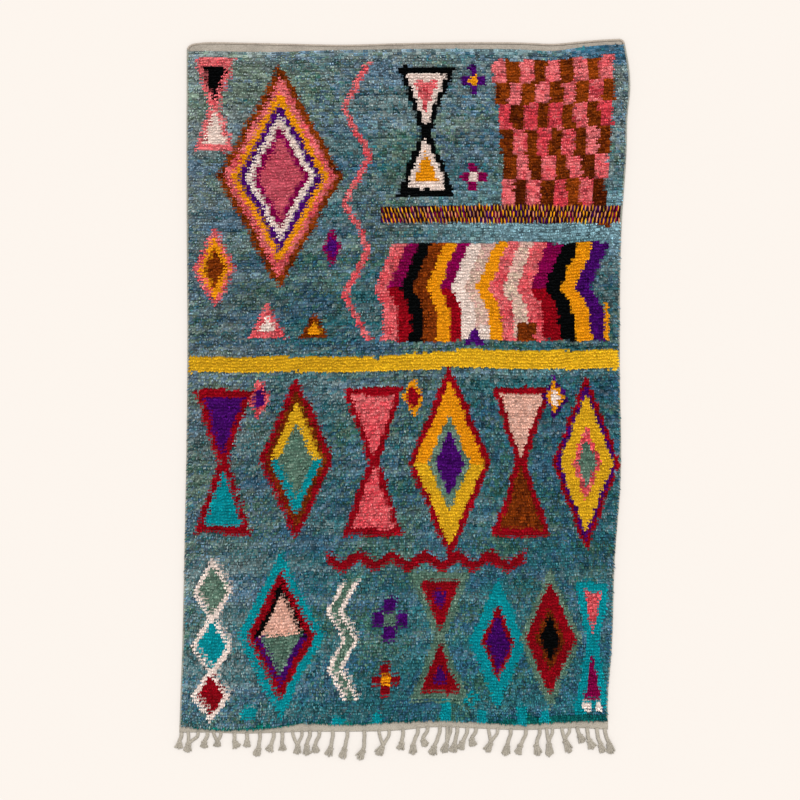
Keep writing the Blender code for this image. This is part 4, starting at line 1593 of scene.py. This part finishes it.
@dataclass
class GroundWeave:
    """The ground weave with the dense foot of the pile on it, one laid sheet, darkened as painted shade
    between the tufts.
    """

    outline: RugOutline
    pile: Pile
    height: float = 0.0105
    edge_height: float = 0.0086
    columns: int = 90
    # how low in the pile the sheet reads, which the pile's finish turns into painted shade
    foot_rise: float = 0.22

    def build(self, material: bpy.types.Material) -> bpy.types.Object:
        """Makes the closed sheet, each face in its knots' colour."""
        rows, columns, outline = self.pile.rows, self.columns, self.outline
        i, j = np.meshgrid(np.arange(columns + 1), np.arange(rows + 1))
        u, v = i / columns, j / rows
        x, y = outline.field_point(u, v, outline.cord_width + outline.meeting_gap, outline.end_foot_in)
        lift = outline.pile_top(x, y, u) - outline.pile_height
        rim = (i == 0) | (i == columns) | (j == 0) | (j == rows)
        z = np.where(rim, self.edge_height, self.height + lift)
        top = np.stack([x, y, z], -1).reshape(-1, 3)
        wide = columns + 1
        faces = [
            (a * wide + b, a * wide + b + 1, (a + 1) * wide + b + 1, (a + 1) * wide + b)
            for a in range(rows) for b in range(columns)
        ]
        order = (
            [(0, b) for b in range(columns)] + [(a, columns) for a in range(rows)]
            + [(rows, b) for b in range(columns, 0, -1)] + [(a, 0) for a in range(rows, 0, -1)]
        )
        ring = [a * wide + b for a, b in order]
        under = len(top) + np.arange(len(ring))
        points = np.concatenate([top, top[ring] * (1.0, 1.0, 0.0)])
        for n in range(len(ring)):
            m = (n + 1) % len(ring)
            faces.append((ring[n], int(under[n]), int(under[m]), ring[m]))
        faces.append(tuple(int(n) for n in reversed(under)))
        mesh = mesh_from("ground_weave", points, faces)
        self.colour_faces(mesh, faces, rows * columns)
        mesh.materials.append(material)
        mesh.shade_smooth()
        return link_piece("ground_weave", mesh)

    def colour_faces(self, mesh: bpy.types.Mesh, faces: list[tuple[int, ...]], count: int) -> None:
        """Gives the sheet's upper faces the colours of the knots on them, set low in the pile for painted
        shade.
        """
        knots = self.pile.colour[:, :: 2 * self.pile.columns // self.columns].reshape(-1, 3)
        colours = []
        for number, face in enumerate(faces):
            colour = knots[number] if number < count else knots[-1]
            colours += [(*colour, 1.0)] * len(face)
        put_attribute(mesh, "wool", "FLOAT_COLOR", np.array(colours), "CORNER")
        put_level(mesh, self.foot_rise)


def route_mesh(
    name: str, routes: list[np.ndarray], thicks: list[np.ndarray], cyclic: bool = False
) -> bpy.types.Object:
    """An object whose edges are the routes of some yarns.

    Args:
        name: the object's name.
        routes: the points of each route.
        thicks: each point's share of the yarn's full width.
        cyclic: whether each route runs back into itself.

    Returns:
        The object, which carries the attribute thick.
    """
    edges = []
    start = 0
    for route in routes:
        count = len(route)
        edges += [(start + n, start + n + 1) for n in range(count - 1)]
        if cyclic:
            edges.append((start + count - 1, start))
        start += count
    mesh = mesh_from(name, np.concatenate(routes), edges=edges)
    put_attribute(mesh, "thick", "FLOAT", np.concatenate(thicks))
    return link_piece(name, mesh)


@dataclass
class EdgeCords:
    """The overcast cords along both sides and round the heading."""

    outline: RugOutline
    turn: float = 0.0058
    relief: float = 0.0012
    sides: int = 8
    spacing: float = 0.0019
    step: float = 0.02

    @property
    def yarn(self) -> Yarn:
        """The overcasting yarn, which turns once for each pitch along the cord."""
        width, height = self.outline.cord_width, self.outline.cord_height
        return Yarn(width, height, self.turn, 1, self.relief, self.sides, self.spacing)

    def on_floor(self, path: np.ndarray) -> np.ndarray:
        """A flat route lifted so that its cord lies on the floor."""
        return np.concatenate([path, np.full((len(path), 1), self.outline.cord_height / 2)], 1)

    def side_cord(
        self, tree: GeometryTree, column: Column, material: bpy.types.Material
    ) -> bpy.types.Object:
        """The cord along one side, from the web to the heading's cord."""
        outline = self.outline
        u = 0.0 if column is Column.LEFT else 1.0
        foot = outline.cord_width + outline.meeting_gap
        start = float(outline.field_point(np.array(u), np.array(0.0), foot, outline.end_foot_in)[1])
        finish = outline.corner_centre(column)[1] - outline.meeting_gap
        y = np.linspace(start, finish, int((finish - start) / self.step))
        x = outline.side(column.side, y) + column.inwards * outline.cord_width / 2
        path = self.on_floor(np.stack([x, y], 1))
        route = route_mesh("side route", [path], [np.ones(len(path))])
        return self.yarn.lay(tree, route, f"side_cord_{column.side}", material)

    def heading_cord(self, tree: GeometryTree, material: bpy.types.Material) -> bpy.types.Object:
        """The cord round the heading."""
        path = self.on_floor(self.outline.heading_route(self.step))
        route = route_mesh("heading route", [path], [np.ones(len(path))])
        return self.yarn.lay(tree, route, "heading_edge_cord", material)


@dataclass
class WovenStrip:
    """A narrow strip of plain weave with ribs along it."""

    name: str
    stations: np.ndarray
    inner: np.ndarray
    outer: np.ndarray
    thickness: float
    ribs: int = 4
    outer_rise: np.ndarray | float = 0.0
    rib_relief: float = 0.0009
    pick_relief: float = 0.0005
    steps_per_rib: int = 3
    sag: Drift = Drift(0.0003, 0.05, 0.02, 31.5)

    def build(self, material: bpy.types.Material) -> bpy.types.Object:
        """Makes the closed strip."""
        count = self.ribs * self.steps_per_rib + 1
        over = np.linspace(0, 1, count)
        x = np.repeat(self.stations[:, None], count, 1)
        y = self.inner[:, None] + (self.outer - self.inner)[:, None] * over
        crest = 0.5 - 0.5 * np.cos(FULL_TURN * self.ribs * over)
        rib = np.floor(over * self.ribs).clip(0, self.ribs - 1)
        pick = np.where((np.arange(len(self.stations))[:, None] + rib) % 2 == 0, 1.0, 0.0)
        z = self.thickness - self.rib_relief + self.rib_relief * crest - self.pick_relief * pick * crest
        z = z + self.sag.at(x, y)
        z = z + np.broadcast_to(self.outer_rise, self.stations.shape)[:, None] * over**2
        top = np.stack([x, y, z], -1)
        under = np.stack([x[:, [-1, 0]], y[:, [-1, 0]], np.zeros_like(x[:, :2])], -1)
        rings = np.concatenate([top, under], 1)
        wide = count + 2
        faces = []
        for a in range(len(self.stations) - 1):
            for b in range(wide):
                after = (b + 1) % wide
                faces.append((a * wide + b, (a + 1) * wide + b, (a + 1) * wide + after, a * wide + after))
        faces.append(tuple(range(wide)))
        last = (len(self.stations) - 1) * wide
        faces.append(tuple(last + n for n in reversed(range(wide))))
        mesh = mesh_from(self.name, rings.reshape(-1, 3), faces)
        mesh.materials.append(material)
        mesh.shade_smooth()
        return link_piece(self.name, mesh)


@dataclass
class Strips:
    """The plain web at the fringed end, and the plain heading at the other."""

    outline: RugOutline
    spacing: float = 0.0032
    web_y: float = -1.19
    joined_rise: float = 0.0034
    parted_rise: float = 0.0014
    parting: tuple[float, float] = (0.15, 0.30)

    def foot_line(self, v: float, x: np.ndarray) -> np.ndarray:
        """The Y of the pile's foot at an end of the field, at some places across."""
        outline = self.outline
        u = np.linspace(0, 1, outline.crease_columns + 1)
        foot = outline.cord_width + outline.meeting_gap
        foot_x, foot_y = outline.field_point(u, np.full_like(u, v), foot, outline.end_foot_in)
        return np.interp(x, foot_x, foot_y)

    def web(self, material: bpy.types.Material) -> bpy.types.Object:
        """The web's strip."""
        outline = self.outline
        left = float(outline.side("left", self.web_y))
        right = float(outline.side("right", self.web_y))
        x = np.linspace(left, right, int((right - left) / self.spacing))
        inner = self.foot_line(0.0, x) - outline.meeting_gap
        outer = outline.end("web_end", x)
        return WovenStrip("end_web", x, outer, inner, outline.ground_thickness).build(material)

    def heading(self, material: bpy.types.Material) -> bpy.types.Object:
        """The heading's strip, up to the inside of its edge cord."""
        outline = self.outline
        route = outline.heading_route(self.spacing)
        along = np.gradient(route, axis=0)
        along /= np.linalg.norm(along, axis=1)[:, None]
        inset = outline.cord_width / 2 + outline.meeting_gap
        outer = route + np.stack([along[:, 1], -along[:, 0]], 1) * inset
        keep = np.concatenate([[True], np.diff(outer[:, 0]) > 0])
        outer = outer[keep]
        inner = self.foot_line(1.0, outer[:, 0]) + outline.meeting_gap
        rise = np.interp(outer[:, 0], self.parting, (self.joined_rise, self.parted_rise))
        thickness = outline.ground_thickness
        strip = WovenStrip("heading_weave", outer[:, 0], inner, outer[:, 1], thickness, outer_rise=rise)
        return strip.build(material)


@dataclass
class Fringe:
    """The knotted tassels: twisted legs, overhand knots and frayed ends."""

    outline: RugOutline
    leg_yarn: Yarn = Yarn(0.0148, 0.0085, 0.038, 3, 0.0015, 10, 0.0034)
    knot_yarn: Yarn = Yarn(0.0085, 0.0085, 0.012, 2, 0.0011, 8, 0.0024)
    strand_yarn: Yarn = Yarn(0.0074, 0.0074, 0.010, 2, 0.0006, 6, 0.0046)
    leg_stiffness: float = 1.3
    leg_tuck: float = 0.004
    leg_hold: float = 0.7
    leg_points: int = 12
    paired_width: float = 0.86
    knot_reach: float = 0.0082
    knot_lift: float = 0.0018
    knot_points: int = 36
    strands: int = 9
    strand_points: int = 8
    tip_width: float = 0.72
    root_fan: float = 0.004
    fan: float = 0.0100
    fan_power: float = 0.8
    fall_power: float = 1.2
    rounding: float = 0.22
    spread_slack: float = 0.15
    lengths: tuple[float, float] = (0.86, 1.0)
    tops: tuple[float, float] = (0.6, 1.25)
    curl: float = 0.0022
    curl_turn: float = 4.5

    def places(self, tassel: Tassel) -> tuple[float, Vector, Vector]:
        """A tassel's line on the web's edge, the top of its knot and the tip of its tuft."""
        edge_y = float(self.outline.end("web_end", float(np.mean(tassel.roots()))))
        knot = Vector((tassel.knot_x, edge_y - tassel.knot_drop))
        return edge_y, knot, Vector((tassel.tip_x, edge_y - tassel.tip_drop))

    def leg(self, root: float, edge_y: float, knot: Vector, tip: Vector) -> np.ndarray:
        """The route of one leg, from under the web's edge into the knot."""
        axis = (tip - knot).normalized()
        start, finish = Vector((root, edge_y)), knot + axis * self.knot_reach * self.leg_hold
        chord = finish - start
        leaving = Vector((0.0, -1.0)) * chord.length * self.leg_stiffness
        arriving = (axis + chord.normalized()).normalized() * chord.length
        level = self.leg_yarn.height / 2
        points = [(root, edge_y + self.leg_tuck, level)]
        for t in np.linspace(0, 1, self.leg_points):
            at_start, out, at_end, into = hermite(t)
            place = start * at_start + leaving * out + finish * at_end + arriving * into
            points.append((place.x, place.y, level))
        return np.array(points)

    def knot(self, knot: Vector, tip: Vector, rng: random.Random) -> np.ndarray:
        """The closed route of an overhand knot's yarn, in the shape of a trefoil."""
        axis = (tip - knot).normalized()
        centre = knot + axis * self.knot_reach
        turn = rng.uniform(0, FULL_TURN)
        angle = np.linspace(0, FULL_TURN, self.knot_points + 1)[:-1]
        x = (np.sin(angle) + 2 * np.sin(2 * angle)) / 3
        y = (np.cos(angle) - 2 * np.cos(2 * angle)) / 3
        z = -np.sin(3 * angle) * self.knot_lift + self.knot_lift + self.knot_yarn.height / 2
        across = x * math.cos(turn) - y * math.sin(turn)
        along = x * math.sin(turn) + y * math.cos(turn)
        side = Vector((-axis.y, axis.x))
        px = centre.x + self.knot_reach * (across * side.x + along * axis.x)
        py = centre.y + self.knot_reach * (across * side.y + along * axis.y)
        return np.stack([px, py, z], 1)

    def frayed(self, knot: Vector, tip: Vector, rng: random.Random) -> list[np.ndarray]:
        """The routes of the loose strands under a knot."""
        axis = (tip - knot).normalized()
        side = Vector((-axis.y, axis.x))
        start = knot + axis * self.knot_reach
        length = (tip - start).length
        level = self.strand_yarn.height / 2
        routes = []
        for number in range(self.strands):
            spread = 2 * number / (self.strands - 1) - 1 + rng.uniform(-self.spread_slack, self.spread_slack)
            reach = length * rng.uniform(*self.lengths) * (1 - self.rounding * min(abs(spread), 1) ** 2)
            curl, wave = rng.uniform(-self.curl, self.curl), rng.uniform(0, FULL_TURN)
            top = self.leg_yarn.height * rng.uniform(*self.tops)
            points = []
            for t in np.linspace(0, 1, self.strand_points):
                waved = curl * math.sin(wave + self.curl_turn * t) * t
                aside = spread * (self.root_fan + self.fan * t**self.fan_power) + waved
                place = start + axis * reach * t + side * aside
                z = level + (top - level) * (1 - t) ** self.fall_power
                points.append((place.x, place.y, max(z, level)))
            routes.append(np.array(points))
        return routes

    def build(self, tree: GeometryTree, material: bpy.types.Material) -> list[bpy.types.Object]:
        """Makes the legs, the knots and the frayed ends of all the tassels."""
        rng = random.Random(SEED)
        legs, leg_thick, knots, strands = [], [], [], []
        for tassel in TASSELS:
            edge_y, knot, tip = self.places(tassel)
            for root in tassel.roots():
                legs.append(self.leg(root, edge_y, knot, tip))
                thick = 1.0 if tassel.legs == 1 else self.paired_width
                leg_thick.append(np.full(len(legs[-1]), thick))
            knots.append(self.knot(knot, tip, rng))
            strands += self.frayed(knot, tip, rng)
        ones = [np.ones(len(route)) for route in knots]
        taper = [np.linspace(1.0, self.tip_width, len(route)) for route in strands]
        leg_route = route_mesh("leg routes", legs, leg_thick)
        knot_route = route_mesh("knot routes", knots, ones, cyclic=True)
        strand_route = route_mesh("strand routes", strands, taper)
        return [
            self.leg_yarn.lay(tree, leg_route, "tassel_legs", material),
            self.knot_yarn.lay(tree, knot_route, "tassel_knots", material),
            self.strand_yarn.lay(tree, strand_route, "tassel_ends", material),
        ]


@dataclass
class Studio:
    """The pale floor, the soft lights and the camera straight above."""

    camera_place: tuple[float, float, float] = (-0.0173, -0.0022, 6.0)
    lens: float = 74.7
    floor_size: float = 14.0
    floor_colour: str = "#c1bbb5"
    floor_roughness: float = 0.9
    sky: float = 1.15
    sun: float = 2.50
    sun_tilt: float = 0.50
    sun_turn: float = -0.25
    sun_spread: float = 0.45
    sun_place: tuple[float, float, float] = (0.0, 2.0, 4.0)

    def floor(self) -> None:
        """A plain floor under the rug."""
        half = self.floor_size / 2
        corners = [(-half, -half, 0), (half, -half, 0), (half, half, 0), (-half, half, 0)]
        mesh = mesh_from("floor", np.array(corners), [(0, 1, 2, 3)])
        material = bpy.data.materials.new("studio floor")
        material.use_nodes = True
        shader = material.node_tree.nodes["Principled BSDF"]
        shader.inputs["Base Color"].default_value = (*linear(self.floor_colour), 1.0)
        shader.inputs["Roughness"].default_value = self.floor_roughness
        shader.inputs["Specular IOR Level"].default_value = 0.0
        mesh.materials.append(material)
        link_piece("floor", mesh)

    def lights(self) -> None:
        """An even sky and one wide soft light from the heading's side, even over the whole rug."""
        world = bpy.data.worlds.new("studio")
        bpy.context.scene.world = world
        world.use_nodes = True
        background = world.node_tree.nodes["Background"]
        background.inputs["Color"].default_value = (1.0, 1.0, 1.0, 1.0)
        background.inputs["Strength"].default_value = self.sky
        data = bpy.data.lights.new("key", "SUN")
        data.energy = self.sun
        data.angle = self.sun_spread
        obj = bpy.data.objects.new("key", data)
        obj.location = self.sun_place
        obj.rotation_euler = (-self.sun_tilt, 0.0, self.sun_turn)
        bpy.context.scene.collection.objects.link(obj)

    def camera(self) -> None:
        """The camera straight above, with the heading at the top of its picture."""
        data = bpy.data.cameras.new("camera")
        data.lens = self.lens
        obj = bpy.data.objects.new("camera", data)
        obj.location = self.camera_place
        bpy.context.scene.collection.objects.link(obj)
        bpy.context.scene.camera = obj

    def build(self) -> None:
        """Makes the floor, the lights and the camera, and keeps the colours as they are lit."""
        bpy.context.scene.view_settings.view_transform = "Standard"
        self.floor()
        self.lights()
        self.camera()


def declare(piece: bpy.types.Object, slot: Slot, *nodes: str) -> bpy.types.Object:
    """Rides a piece on the rug's body, hides the nodes that it stands for and logs its face count."""
    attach(piece, BODY)
    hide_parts(*nodes)
    LOG.info("%s: %d faces", piece.name, sum(len(p.vertices) - 2 for p in piece.data.polygons))
    return piece


def write_sizes() -> None:
    """Brings the scene's transforms up to date."""
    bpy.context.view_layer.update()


def main() -> None:
    """Builds the rug from the ground weave up, then the studio."""
    logging.basicConfig(level=logging.INFO, format="%(message)s")
    outline = RugOutline()
    Studio().build()
    pile_wool = DyedPile("dyed pile wool").material()
    heading_yarn = UndyedYarn("heading yarn", light="#9c9388", dark="#766e63").material()
    rim_wool = UndyedYarn("heading rim wool", light="#a2978b", dark="#7d7165").material()
    edge_wool = UndyedYarn("edge wool", light="#8f8e84", dark="#696a61").material()
    warp_yarn = UndyedYarn("warp yarn", light="#9d968a", dark="#766e62", wear=0.16).material()

    pile = Pile(outline, REPEATS + UPPER_FIGURES + MIDDLE_FIGURES + LOWER_FIGURES)
    pile.lay_out()
    strips = [declare(piece, Slot.PILE, "rug_body") for piece in pile.build(pile_wool)]
    ground = declare(GroundWeave(outline, pile).build(pile_wool), Slot.PILE, "rug_body")

    yarns = yarn_tree()
    strips.append(declare(TICKED_BAR.build(yarns, outline, pile_wool), Slot.PILE, "rug_body"))
    cords = EdgeCords(outline)
    trims = [
        declare(cords.side_cord(yarns, Column.LEFT, edge_wool), Slot.EDGE, "selvedge_left"),
        declare(cords.side_cord(yarns, Column.RIGHT, edge_wool), Slot.EDGE, "selvedge_right"),
        declare(cords.heading_cord(yarns, rim_wool), Slot.EDGE, "heading_cord"),
    ]
    ends = Strips(outline)
    trims.append(declare(ends.heading(heading_yarn), Slot.HEADING, "heading"))
    trims.append(declare(ends.web(warp_yarn), Slot.WARP, "fringe"))
    trims += [declare(piece, Slot.WARP, "fringe") for piece in Fringe(outline).build(yarns, warp_yarn)]
    write_sizes()


if __name__ == "__main__":
    main()
